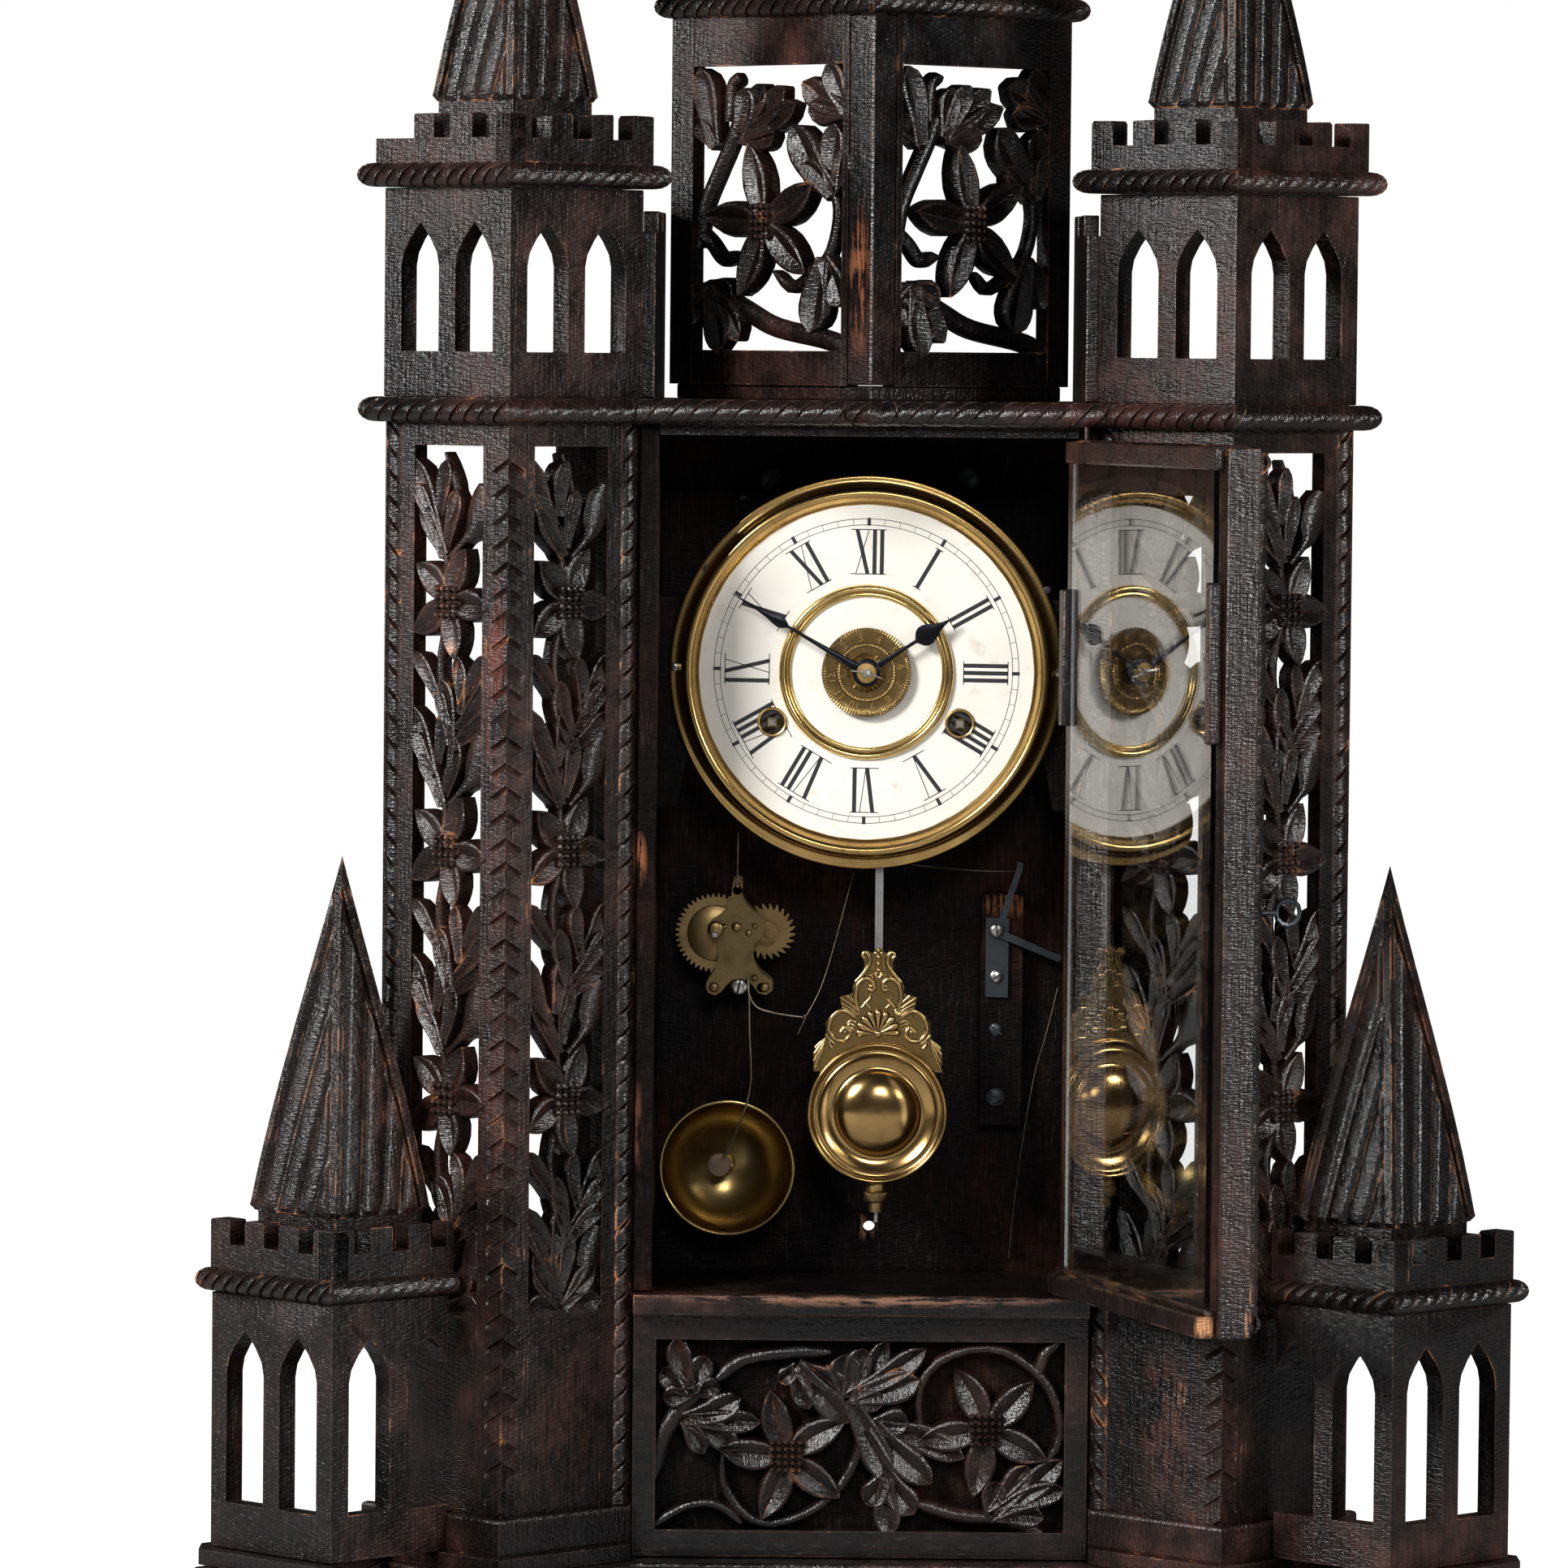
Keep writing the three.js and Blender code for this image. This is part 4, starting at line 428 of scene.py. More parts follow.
def curve(points, steps):
    """Points of an even number along a smooth line through the given ones."""
    ends = [2 * Vector(points[0]) - Vector(points[1]), *map(Vector, points),
            2 * Vector(points[-1]) - Vector(points[-2])]
    made = []
    for i in range(steps + 1):
        t = i / steps * (len(points) - 1)
        k = min(int(t), len(points) - 2)
        f = t - k
        a, b, c, d = ends[k:k + 4]
        made.append(0.5 * (2 * b + (c - a) * f + (2 * a - 5 * b + 4 * c - d) * f * f
                           + (3 * b - a - 3 * c + d) * f ** 3))
    return made


def shaped(table, t):
    """A value read from a table of (place, value)."""
    for (a, x), (b, y) in zip(table, table[1:]):
        if t <= b:
            return x + (y - x) * (t - a) / (b - a)
    return table[-1][1]


# Carving

# Half widths along a blade, and (across, depth) of its section
PETAL = [(0, 0.3), (0.15, 0.62), (0.32, 0.9), (0.5, 1), (0.68, 0.9), (0.84, 0.6), (0.94, 0.28),
         (1, 0.03)]
LOBE = [(0, 0.5), (0.2, 0.62), (0.45, 0.86), (0.65, 1), (0.82, 0.9), (0.93, 0.6), (1, 0.1)]
STEM = [(0, 0.5), (0.08, 0.9), (0.85, 0.9), (0.95, 0.7), (1, 0.3)]
BUD = [(0, 0.22), (0.4, 0.28), (0.55, 0.55), (0.68, 1), (0.84, 1.05), (0.95, 0.75), (1, 0.35)]
CREASED = [(-1, -2.0), (-0.86, -0.35), (-0.7, 0), (-0.35, -0.9), (0, -2.1), (0.35, -0.9), (0.7, 0),
           (0.86, -0.35), (1, -2.0)]
ROUND = [(-1, -2.4), (-0.75, -1.0), (-0.4, -0.2), (0, 0), (0.4, -0.2), (0.75, -1.0), (1, -2.4)]


def blade(form, face, line, wide, outline, section, level=0.0, steps=9, relief=1.0, back=-BOARD):
    """A carved leaf, petal or stem: sawn through the board, its front shaped across and along."""
    middle = curve([Vector((*p, 0)) for p in line], steps)
    rings = []
    for i, place in enumerate(middle):
        share = shaped(outline, i / steps)
        ahead = middle[min(i + 1, steps)] - middle[max(i - 1, 0)]
        side = Vector((-ahead.y, ahead.x, 0)).normalized()
        half = wide / 2 * share
        depth = min(1.0, 0.25 + share) * relief
        across = [(k, level + h * depth) for k, h in section] + [(1, back), (-1, back)]
        rings.append([face(place.x + side.x * half * k, place.y + side.y * half * k, h)
                      for k, h in across])
    form.loft(rings)


def knob(form, face, u, v, radius, foot, top):
    """One small cut knob in the middle of a flower."""
    form.loft([[face(u + radius * k * c, v + radius * k * s, foot + (top - foot) * share)
                for c, s in circle(6)]
               for share, k in ((0, 1.0), (0.55, 0.95), (0.85, 0.7), (1, 0.3))])


def flower(form, face, at, petal, wide, turn, level, knobs, disc, rng, back=-BOARD):
    """Five creased petals round a cluster of knobs."""
    for k in range(5):
        angle = RAD(turn + 72 * k + rng.uniform(-3, 3))
        way = Vector((math.cos(angle), math.sin(angle)))
        side = Vector((-way.y, way.x)) * rng.uniform(-1.2, 1.2)
        centre = Vector(at)
        line = [centre + way * 2, centre + way * petal * 0.5 + side, centre + way * petal]
        blade(form, face, line, wide, PETAL, CREASED, level, 10, 1.15, back)
    rim = [(at[0] + disc * c, at[1] + disc * s) for c, s in circle(15)]
    form.plate(rim, back, level - 1.0, face)
    across, up, pitch = knobs
    for i in range(across):
        for j in range(up):
            u, v = (i - (across - 1) / 2) * pitch, (j - (up - 1) / 2) * pitch
            if math.hypot(u, v) < disc + 1.2:
                knob(form, face, at[0] + u, at[1] + v, pitch * 0.46, level - 1.5, level + 1.9)


def spray(form, face, base, tips, rng):
    """A leaf of several lobes that share a base."""
    base = Vector(base)
    for n, (u, v, wide) in enumerate(tips):
        way = Vector((u, v)) - base
        bend = way.orthogonal() * rng.uniform(-0.06, 0.06)
        blade(form, face, [base, base + way * 0.5 + bend, (u, v)], 1.35 * wide, LOBE, CREASED,
              -0.25 * (n % 3), 9, 1.1)


# Lobes of the tower vine's leaves, measured from the flower below: foot, tip, width
LEAF_LOBES = [
    ((-3.6, 19), (-21, 59), 12.5), ((-2.7, 19), (-17.5, 39), 10.5), ((-8, 32), (-20.5, 49), 9),
    ((-6.3, 36), (-2, 59), 10.5), ((-1.8, 23), (4.1, 47), 10.5),
]
UPPER_LOBES = [
    ((3, 48), (-7, 68), 8), ((-5, 62), (-21, 82), 9), ((8.5, 57), (5, 81), 9.5),
    ((1.8, 44), (-4.4, 71), 12), ((7, 57), (23, 82), 11), ((5, 50), (23, 70), 10.5),
    ((1.8, 42.6), (23, 57.5), 10),
]


def vine_panel(form, face, middle, low, high, rng):
    """The climbing vine of a tower panel: a flower, leaves and a bud in each group of the vine."""
    pitch, top, count = 103.5, 427.0, 4

    def at(points, n):
        return [(middle + u, top - n * pitch + v) for u, v in points]

    for n in range(count):
        stem = at([(0, 0), (-3, 15), (-3, 30), (3, 45), (-4, 62), (-7, 78), (-4, 92),
                   (0, pitch)], n)
        stem = [p for p in stem if low - 12 < p[1] < high + 8]
        if len(stem) > 2:
            blade(form, face, stem, 5, STEM, ROUND, -1.2, 16)
        for foot, tip, wide in LEAF_LOBES + (UPPER_LOBES if n else []):
            foot, tip = at([foot, tip], n)
            if foot[1] > low - 4 and tip[1] < high + 6 and foot[1] < high - 12:
                bend = Vector((foot[1] - tip[1], tip[0] - foot[0])) * rng.uniform(-0.07, 0.07)
                halfway = (Vector(foot) + Vector(tip)) / 2 + bend
                blade(form, face, [foot, halfway, tip], wide, LOBE, CREASED,
                      rng.uniform(-0.5, 0.3), 9, 1.1)
        if n == count - 1:
            foot = (middle, 132.5)
            for tip in ((-17, 151), (17, 149), (-21, 134), (21, 134.5)):
                halfway = (middle + tip[0] / 2, (foot[1] + tip[1]) / 2)
                blade(form, face, [foot, halfway, (middle + tip[0], tip[1])], 13, LOBE, CREASED)
        bud = at([(1, 19), (8, 25), (14.5, 32), (19.5, 49)], n)
        if low < bud[0][1] < high - 40:
            blade(form, face, bud, 13, BUD, ROUND, 0.2, 14)
        if n < count - 1:
            place = (middle, top - n * pitch)
            flower(form, face, place, 24.5, 14.5, 66, 0.6, (4, 4, 3.6), 7.4, rng)


# (place within a pitch, share of the full depth) of a rope's notches
GOUGED = ((0.0, 1.0), (0.28, 0.45), (0.55, 0.0), (0.98, 0.0))
STEPPED = ((0.0, 0.0), (0.68, 0.0), (0.84, 1.0), (0.95, 0.0))
ROPE_ROWS = 8


def rope(form, start, along, out, length, radius, pitch, lean, deep, mitres=(0, 0), flat=1.0,
         cut=GOUGED, seed=1):
    """A half-round moulding cut with slanting notches, so that it looks twisted."""
    rng = random.Random(seed)
    start, t, n = Vector(start), Vector(along).normalized(), Vector(out).normalized()
    up = n.cross(t)
    count = int((length + 2 * radius) / pitch) + 2
    places = []
    for i in range(-1, count + 1):
        shift, more = rng.uniform(-0.05, 0.05), rng.uniform(0.8, 1.1)
        places += [((i + phase + shift) * pitch, deep * share * more) for phase, share in cut]
    reach = radius * (abs(lean) + 1)
    places = [p for p in places if -reach < p[0] < length + reach]
    rings = []
    for place, depth in [(-reach, 0.0), *places, (length + reach, 0.0)]:
        ring = []
        for j in range(ROPE_ROWS + 1):
            angle = math.pi * (j / ROPE_ROWS - 0.5)
            c, s = math.cos(angle), math.sin(angle)
            low, high = -c * radius * mitres[0], length + c * radius * mitres[1]
            where = min(max(place - lean * s * radius, low), high)
            r = radius - depth * (0.35 + 0.65 * c)
            ring.append(start + t * where + n * c * r * flat + up * s * (radius - depth * 0.35))
        rings.append(ring)
    form.loft(rings, around=False)


# CAD nodes that stay in view: look, rounding of their edges, names without their side
SHOWN = (
    (LEVEL, 0.8, "base_board tower_plinth box_floor lantern_base"),
    (UPRIGHT, 0.8, "turret_walls side_turret_walls lantern_post curtain_wall"),
    (INSIDE, 0.8, "back_board box_side strip_board"),
    (INSIDE, 0, "lower_backing"),
    (GLASS, 0, "door_glass"),
    (IRON, 0, "door_eye"),
    (PAPER, 0, "dial_plate"),
    (BRASS_DARK_SHADED, 0, "movement_frame time_wheel strike_wheel"),
    (STEEL, 0, "pendulum_rod"),
)


def soften(made, width):
    """Rounds the sharp edges of a piece a little."""
    weld = made.modifiers.new("weld", "WELD")
    weld.merge_threshold = 0.00002
    bevel = made.modifiers.new("bevel", "BEVEL")
    bevel.width, bevel.segments, bevel.limit_method = width * MM, 2, "ANGLE"
    bevel.angle_limit = RAD(38)
    bevel.harden_normals = False
    bevel.use_clamp_overlap = True


for look, rounding, names in SHOWN:
    for node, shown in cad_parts.items():
        if node.removesuffix("_right").removesuffix("_left") in names.split():
            shown.data.materials.clear()
            shown.data.materials.append(look)
            if rounding:
                soften(shown, rounding)


# Carved boards of the case

# Front corners of the square towers and the lantern: depth of the front arris, half the diagonal
TOWER = (-60.0, 53.0)
LANTERN = (-22.0, 85.0)


def carve(form, face, left, foot, table, rng, scale=1.0):
    """Stems and leaves from a table that is measured from an opening's lower left corner."""
    for kind, places, *wide in table:
        moved = [(left + p[0] * scale, foot + p[1], *p[2:]) for p in places]
        if kind == "stem":
            blade(form, face, moved, wide[0], STEM, ROUND, -1.4, 18)
        else:
            spray(form, face, moved[0], moved[1:], rng)


def tower_panel(name, x, on_right, seed):
    """One pierced face of a tower: stiles, rails, climbing vine and a twisted post at its edge."""
    rng = random.Random(seed)
    form = Form()
    face = front_face(on_right, x, *TOWER)
    start, left, right, post, lean = 0.0, 18.0, 59.8, 5.5, -1.0
    if on_right:
        start, left, right, post, lean = 12.8, 15.1, 57.0, 69.4, 1.0
    low, high, foot, top, rope_foot = 131.0, 492.0, 31.2, 501.6, 47.6
    form.framing(face, start, left, right, start + 62.1, foot, low, high, top, rail_front=-0.2)
    vine_panel(form, face, (left + right) / 2, low, high, rng)
    rope(form, face(post, rope_foot, -2.6), (0, 0, 1), face(0, 0, 1) - face(0, 0, 0),
         top - rope_foot, 5.1, 10.1, lean, 2.4, cut=STEPPED, seed=seed)
    form.finish(name + "_carved", "case", UPRIGHT, "ebonised_wood", (name,), 32)


def corner_post(name, x):
    """The tower's front arris, notched in chevrons on both faces."""
    rng = random.Random(int(x))
    form = Form()
    faces = [front_face(on_right, x, *TOWER) for on_right in (False, True)]
    length = TOWER[1] * math.sqrt(2)
    reach = 12.5
    spots = [(reach, 0.0), (9.6, 0.0), (9.0, 0.8), (6.6, 1.0), (3.4, 1.0), (0.0, 0.8)]
    low, high, pitch, slope = 31.2, 501.6, 10.4, 0.55
    heights = [(low - 1, 0.0)]
    for i in range(int((high - low) / pitch)):
        foot = low + 16 + i * pitch + rng.uniform(-0.6, 0.6)
        deep = 1.6 * rng.uniform(0.6, 1.1) if foot < 488 else 0.0
        heights += [(foot, 0.0), (foot + 1.9, deep), (foot + 2.9, 0.0)]
    heights.append((high + slope * 13, 0.0))
    rings = []
    for height, deep in heights:
        level = [(u, min(max(height - slope * u, low), high), -deep * share) for u, share in spots]
        z = level[0][1]
        rings.append([faces[0](length - u, v, h) for u, v, h in level]
                     + [faces[1](*spot) for spot in level[-2::-1]]
                     + [faces[1](reach, z, -BOARD), faces[1](BOARD, z, -BOARD),
                        faces[0](length - reach, z, -BOARD)])
    form.loft(rings)
    form.finish(name + "_notched", "case", UPRIGHT, "ebonised_wood", (name,), 30)


LANTERN_VINE = [
    ("stem", [(0, 43.5), (4, 60.5), (12, 75.1), (20, 88.7), (25.6, 101.1)], 8),
    ("leaf", [(12, 86.4), (3.2, 119.2, 12), (-1.6, 97.7, 8)]),
    ("stem", [(18.4, 96.6), (20, 111.3), (25.6, 115.3)], 7),
    ("leaf", [(26.4, 89.8), (30.4, 110.7, 11), (41.6, 111.9, 10), (53.6, 110.7, 10),
              (60.8, 103.6, 9), (48.5, 90.1, 9)]),
    ("leaf", [(90.4, 100), (79.2, 119.8, 11), (64.5, 112.4, 11), (68, 100.6, 10)]),
    ("leaf", [(82.4, 66.1), (58.4, 94.4, 14), (84, 94.9, 12), (64.5, 77.6, 10), (90.4, 84.2, 9)]),
    ("stem", [(80.8, 70.6), (83.7, 57.1), (79.2, 41.2), (69.6, 33.3), (56.8, 26.6),
              (47.2, 33.3)], 6),
    ("leaf", [(77.6, 37.9), (70.4, 7.9, 14), (87.2, 18.6, 13)]),
    ("stem", [(5.6, 27.1), (29.6, 16.4), (47.2, 9.6), (77.6, 4.5), (92, -0.6)], 9),
    ("leaf", [(8.8, 26.6), (16, -1.1, 12), (0, 10.7, 11), (27.2, 4, 10), (24, 22.6, 10),
              (0, 20.9, 9)]),
    ("stem", [(1, 50), (8, 45), (15.2, 38.5), (24, 40.1)], 7),
]


def lantern_panel(name, on_right, seed):
    """One pierced face of the lantern: stiles, rails, a scrolling vine and one big flower."""
    rng = random.Random(seed)
    form = Form()
    face = front_face(on_right, 0.0, *LANTERN)
    foot, top, low, high = 518.1, 673.2, 532.6, 652.7
    start, left, right = (14.3, 17.8, 107.2) if on_right else (0.0, 13.0, 102.4)
    form.framing(face, start, left, right, start + 105.9, foot, low, high, top, rail_front=-0.3)
    carve(form, face, left, low, LANTERN_VINE, rng)
    flower(form, face, (left + 42.4, low + 54.2), 34, 15.5, 30, 1.4, (4, 5, 3.2), 8.0, rng)
    form.finish(name + "_carved", "case", UPRIGHT, "ebonised_wood", (name,), 32)


LOWER_VINE = [
    ("stem", [(81.9, 52.2), (85.5, 38.6), (81.9, 26.1), (75, 15.9), (63.5, 6.8), (47.5, 2.3),
              (36.1, 7.4), (28.6, 19.3), (28.1, 32.3)], 5.4),
    ("stem", [(-1.1, 1.1), (13.2, 9.6), (25.8, 10.2), (36.1, 2.8)], 5.4),
    ("stem", [(-1.1, 21.5), (2.9, 38.6), (12, 52.2), (17.7, 56.7)], 8.5),
    ("stem", [(25.8, 63.5), (36.1, 71.4), (54.4, 74.8), (72.7, 75.4)], 7),
    ("stem", [(110.5, 45.4), (109.9, 60.1), (117.4, 71.4), (131.1, 76.9), (144.8, 76.5),
              (156.3, 69.2), (164.3, 60.1), (168.9, 46.5), (167.2, 35.2), (159.7, 27.2)], 5.4),
    ("stem", [(159.7, 66.9), (162, 74.8), (167.7, 80.5)], 6),
    ("stem", [(109.3, 11.3), (127.7, 6.2), (144.8, 5.1), (161.4, -0.2)], 7),
    ("leaf", [(80.7, 55.6), (97.3, 21, 11)]),
    ("leaf", [(14.9, 57.8), (8, 80.7, 9), (21.4, 73.1, 9), (2.6, 68, 9), (3.1, 55.6, 8),
              (27.1, 59.9, 8)]),
    ("leaf", [(12, 46.5), (35.2, 55.8, 10), (43.7, 45.6, 8.5), (34.4, 34, 9.5), (20.3, 32.3, 8)]),
    ("leaf", [(59, 69.7), (51.5, 62.9, 7), (63.8, 51.4, 8.5), (81.3, 59.2, 9), (80.5, 45.9, 10)]),
    ("leaf", [(80.7, 56.7), (77.9, 74.3, 12), (86.7, 77.1, 10), (96.2, 80.5, 8), (112.2, 77.1, 9),
              (109.6, 64.1, 12), (94.7, 53.5, 9)]),
    ("leaf", [(91, 44.8), (105.3, 46.2, 10), (118.3, 39.7, 9), (128.5, 31.2, 10),
              (115.3, 20.6, 11)]),
    ("leaf", [(96.8, 23.8), (88.2, 11.1, 10), (98.1, -2, 9.5), (108.4, 7.7, 11)]),
    ("leaf", [(140.3, 6.8), (142.6, 21.5, 9), (155.1, 28.4, 10), (169.5, 30.8, 10),
              (171.2, 18.1, 9), (162, 6.2, 9)]),
]


def lower_board():
    """The frame below the door with its pierced vine and two flowers."""
    rng = random.Random(5)
    form = Form()
    face = plane((0, -9, 0), (1, 0, 0), (0, -1, 0))
    edge, left, low, high = 95.6, -86, 36.5, 117.0
    form.framing(face, -edge, left, -left, edge, 25.4, low, high, 128.2, -8.8)
    carve(form, face, left, low, LOWER_VINE, rng, 1.01)
    for x, z, turn in ((55.1, 31.5, 32), (139, 43.3, 47)):
        flower(form, face, (left + x, low + z), 28.5, 14.5, turn, 0.6, (5, 5, 2.9), 7.2, rng, -8)
    form.finish("lower_front_carved", "case", LEVEL, "ebonised_wood", ("lower_front",), 32)


for n, (side, x) in enumerate((("left", -149.5), ("right", 149.5))):
    outer_right = side == "right"
    tower_panel("outer_fret_" + side, x, outer_right, 10 + n)
    tower_panel("inner_fret_" + side, x, not outer_right, 20 + n)
    corner_post("corner_post_" + side, x)
    lantern_panel("lantern_fret_" + side, outer_right, 30 + n)
lower_board()


# Dial, hands and bezel

DIAL_Z = 396.7
PRINT_Y = 35.96
PRINT_Z = DIAL_Z + 0.5
PRINT_TURN = 0.5


def spun(x, radius, degrees):
    """A point beside a radius, once the radius is turned clockwise from upright."""
    c, s = math.cos(RAD(degrees)), math.sin(RAD(degrees))
    return x * c + radius * s, radius * c - x * s


def on_dial(radius, degrees):
    """A place on the dial, measured clockwise from the twelve."""
    x, z = spun(0, radius, degrees)
    return x, DIAL_Z + z


def printed(form, corners, degrees, lift=0.0):
    """A flat patch of ink, its (across, radius) corners turned with the dial's print."""
    places = [spun(x, r, degrees + PRINT_TURN) for x, r in corners]
    form.sheet([(x, PRINT_Y - lift, PRINT_Z + z) for x, z in places])


def bezel():
    """The stamped brass rim round the dial, and dark discs of painted shade in its two empty nail
    holes.
    """
    form = Form()
    front = [(70.7, 37.3), (70.8, 36.2), (71.3, 35.7), (72.2, 35.1), (73.2, 33.9), (74.0, 32.5),
             (75.0, 31.6), (76.1, 31.45), (77.2, 31.9), (78.2, 33.1), (78.8, 34.9), (79.1, 36.9),
             (79.6, 37.8), (81.6, 38.2), (82.6, 38.1), (83.3, 38.3), (83.7, 38.8)]
    back = [(r - 0.2, y + 0.9) for r, y in front[::-1]]
    form.turned(front + back, 0, DIAL_Z, 144)
    form.finish("dial_bezel", "case", BEZEL, "brass", ("dial_pan",), 50)
    # Dark discs in the nail holes: painted shade
    form = Form()
    for x, z in ((-68.2605, 440.04), (76.239, 432.2585)):
        form.turned([(0.05, 38.02), (1.35, 38.02), (1.6, 38.12), (1.6, 38.6), (0.05, 38.6)], x, z,
                    16)
    form.finish("bezel_hole_shade", "case", INK_AND_SHADE, "blued_steel")


def screw(form, x, z, radius, y, slot_turn, proud):
    """A slotted round head that stands proud of the plane at depth y; gives its slot's corners."""
    rim = y - proud + 0.5
    form.turned([(0.05, y - proud), (radius * 0.6, y - proud + 0.125), (radius * 0.9, rim),
                 (radius, rim + 0.3), (radius, y), (0.05, y)], x, z, 28)
    half, wide = radius * 0.95, radius * 0.13
    corners = [spun(a * half, b * wide, -slot_turn) for a, b in SQUARE]
    return [(x + a, y - proud - 0.04, z + b) for a, b in corners]


def screws(name, places, body, material, slot):
    """Screw heads, each with a dark block of painted shade in its slot: (x, z, radius, depth, turn,
    proud).
    """
    heads, slot_shade = Form(), Form()
    for place in places:
        corners = screw(heads, *place)
        # The slot filled with a dark block: painted shade
        slot_shade.loft([corners, [(a, b + 0.5, c) for a, b, c in corners]])
    heads.finish(name, body, material, slot)
    slot_shade.finish(name + "_slots", body, INK_AND_SHADE, slot)


def numeral(form, text, hour):
    """One Roman numeral, its top outwards, between the inner ring and the minute track."""
    low, high, thick, thin = 41.2, 60.0, 1.75, 0.38
    wide = {"I": 3.1, "V": 8.4, "X": 8.2}
    total = sum(wide[c] for c in text) - (wide["I"] - thick if text[-1] == "I" else 0)

    def bar(x0, x1, across, a=low, b=high):
        """A stroke from x0 at radius a to x1 at radius b."""
        half = across / 2
        printed(form, [(x0 - half, a), (x0 + half, a), (x1 + half, b), (x1 - half, b)], hour * 30)

    x = -total / 2
    for letter in text:
        if letter == "I":
            bar(x + thick / 2, x + thick / 2, thick)
        elif letter == "V":
            foot = x + wide["V"] / 2 - 0.2
            bar(foot, x + 1.5, thick)
            bar(foot + 0.5, x + 6.9, thin)
        else:
            bar(x + 6.2, x + 1.6, thick)
            bar(x + 1.2, x + 6.6, thin)
        x += wide[letter]
    for radius in (low, high):
        bar(0, 0, total + 2, radius - 0.2, radius + 0.2)


def dial_print():
    """Numerals and minute track, printed a little askew."""
    form = Form()
    hours = "XII I II III IIII V VI VII VIII IX X XI"
    for hour, text in enumerate(hours.split()):
        numeral(form, text, hour)
    inner, outer = 62.0, 64.6
    for radius in (inner, outer):
        form.loft([[(r * s, PRINT_Y, PRINT_Z + r * c) for r in (radius - 0.14, radius + 0.14)]
                   for c, s in circle(180)], around=False, wrap=True)
    for minute in range(60):
        half, low, high = 0.1, inner, outer
        if minute % 5 == 0:
            half, low, high = 0.75, inner - 0.3, outer + 0.4
        printed(form, [(-half, low), (half, low), (half, high), (-half, high)], minute * 6, 0.01)
    form.finish("dial_numerals", "case", INK_AND_SHADE, "dial_paper", smooth=False)


# Winding arbors, either side of the middle
ARBOR_X, ARBOR_Z = 39.8, DIAL_Z - 21.4


def dial_rings():
    """The inner ring, the grommets of the winding holes and the squares that stand in them."""
    form = Form()
    front = [(31.9, 35.8), (32.2, 35.2), (32.8, 34.9), (33.4, 35.1), (33.7, 35.2), (34.0, 34.9),
             (34.7, 34.1), (35.5, 33.8), (36.3, 34.0), (36.9, 34.7), (37.2, 35.7)]
    form.turned(front + [(37.2, 35.95), (31.9, 35.95)], 0, DIAL_Z, 120)
    form.finish("dial_inner_ring", "case", BRASS_BRIGHT, "brass", ("dial_ring",), 60)
    form = Form()
    for side in (-1, 1):
        form.turned([(4.9, 37.4), (5.0, 35.6), (5.3, 35.0), (5.8, 34.8), (6.2, 35.1), (6.4, 35.95),
                     (6.0, 36.1), (5.3, 37.4)], side * ARBOR_X, ARBOR_Z, 40)
    form.finish("winding_grommets", "case", BRASS, "brass")
    for side, body in ((-1, "strike_wheel"), (1, "time_wheel")):
        form = Form()
        form.squared(side * ARBOR_X, ARBOR_Z, ((32.6, 1.2), (33.1, 1.75), (33.5, 1.95), (40, 1.95)))
        form.finish("winding_square_" + body, body, STEEL_BRIGHT, "steel", smooth=False)


def disc_relief(r, angle):
    """Depth of the alarm disc's stamping: milled edge, figures' track, two beaded rings."""
    if r > 18.9:
        return 0.7
    if r > 17.2:
        return -0.35 * (0.5 + 0.5 * math.cos(angle * 96))
    if r > 12.4:
        return -0.1 * math.sin(angle * 5) ** 2
    if r > 11.2:
        return -0.35 - 0.2 * (0.5 + 0.5 * math.cos(angle * 60))
    if r > 8.4:
        return 0.35
    if r > 6.2:
        return -0.4 + 0.5 * (0.5 + 0.5 * math.cos(angle * 44))
    return -0.3


def alarm_setting():
    """The alarm disc with its figures, stars and a ring of beads."""
    form = Form()
    radii = [4.4, 5.2, 6.2, 6.4, 7.3, 8.3, 8.45, 9.5, 11.1, 11.25, 11.8, 12.3, 12.6, 14.8, 17.1,
             17.3, 18, 18.8, 19]
    profile = [(r, 32.7) for r in radii] + [(19, 33.4), (4.4, 33.4)]
    form.turned(profile, 0, DIAL_Z, 288, disc_relief)
    form.finish("alarm_setting_disc", "alarm_disc", DISC, "brass", ("alarm_disc",), 40)
    form = Form()
    for hour in range(1, 13):
        turn = 260 + 30 * hour
        form.letters(str(hour), 4.6, on_dial(14.7, turn), turn, 0.4, 32.55)
        form.letters("*", 2.6, on_dial(9.6, turn), turn, 0.25, 32.95)
    for k in range(60):
        form.turned([(0.05, 32.05), (0.4, 32.15), (0.5, 32.6), (0.05, 32.6)],
                    *on_dial(11.8, k * 6), 6)
    form.finish("alarm_setting_figures", "alarm_disc", BRASS, "brass", sharp=60)


def hand(body, table, long, degrees, y, hub, hole):
    """A flat hand with bevelled edges; the table gives half widths along it."""
    form = Form()
    thick, bevel = 0.8, 0.3
    across = ((-1, thick), (-1, bevel), (-0.55, 0), (0.55, 0), (1, bevel), (1, thick))
    rings = []
    for t, half in table:
        places = [(*spun(half * x, t * long, degrees), depth) for x, depth in across]
        rings.append([(x, y + depth, DIAL_Z + z) for x, z, depth in places])
    form.loft(rings)
    form.turned([(hole, y), (hub - 0.3, y - 0.05), (hub, y + 0.25), (hub, y + thick),
                 (hole, y + thick)], 0, DIAL_Z, 48)
    form.finish(body + "_spade", body, BLUED, "blued_steel", (body,), 50)


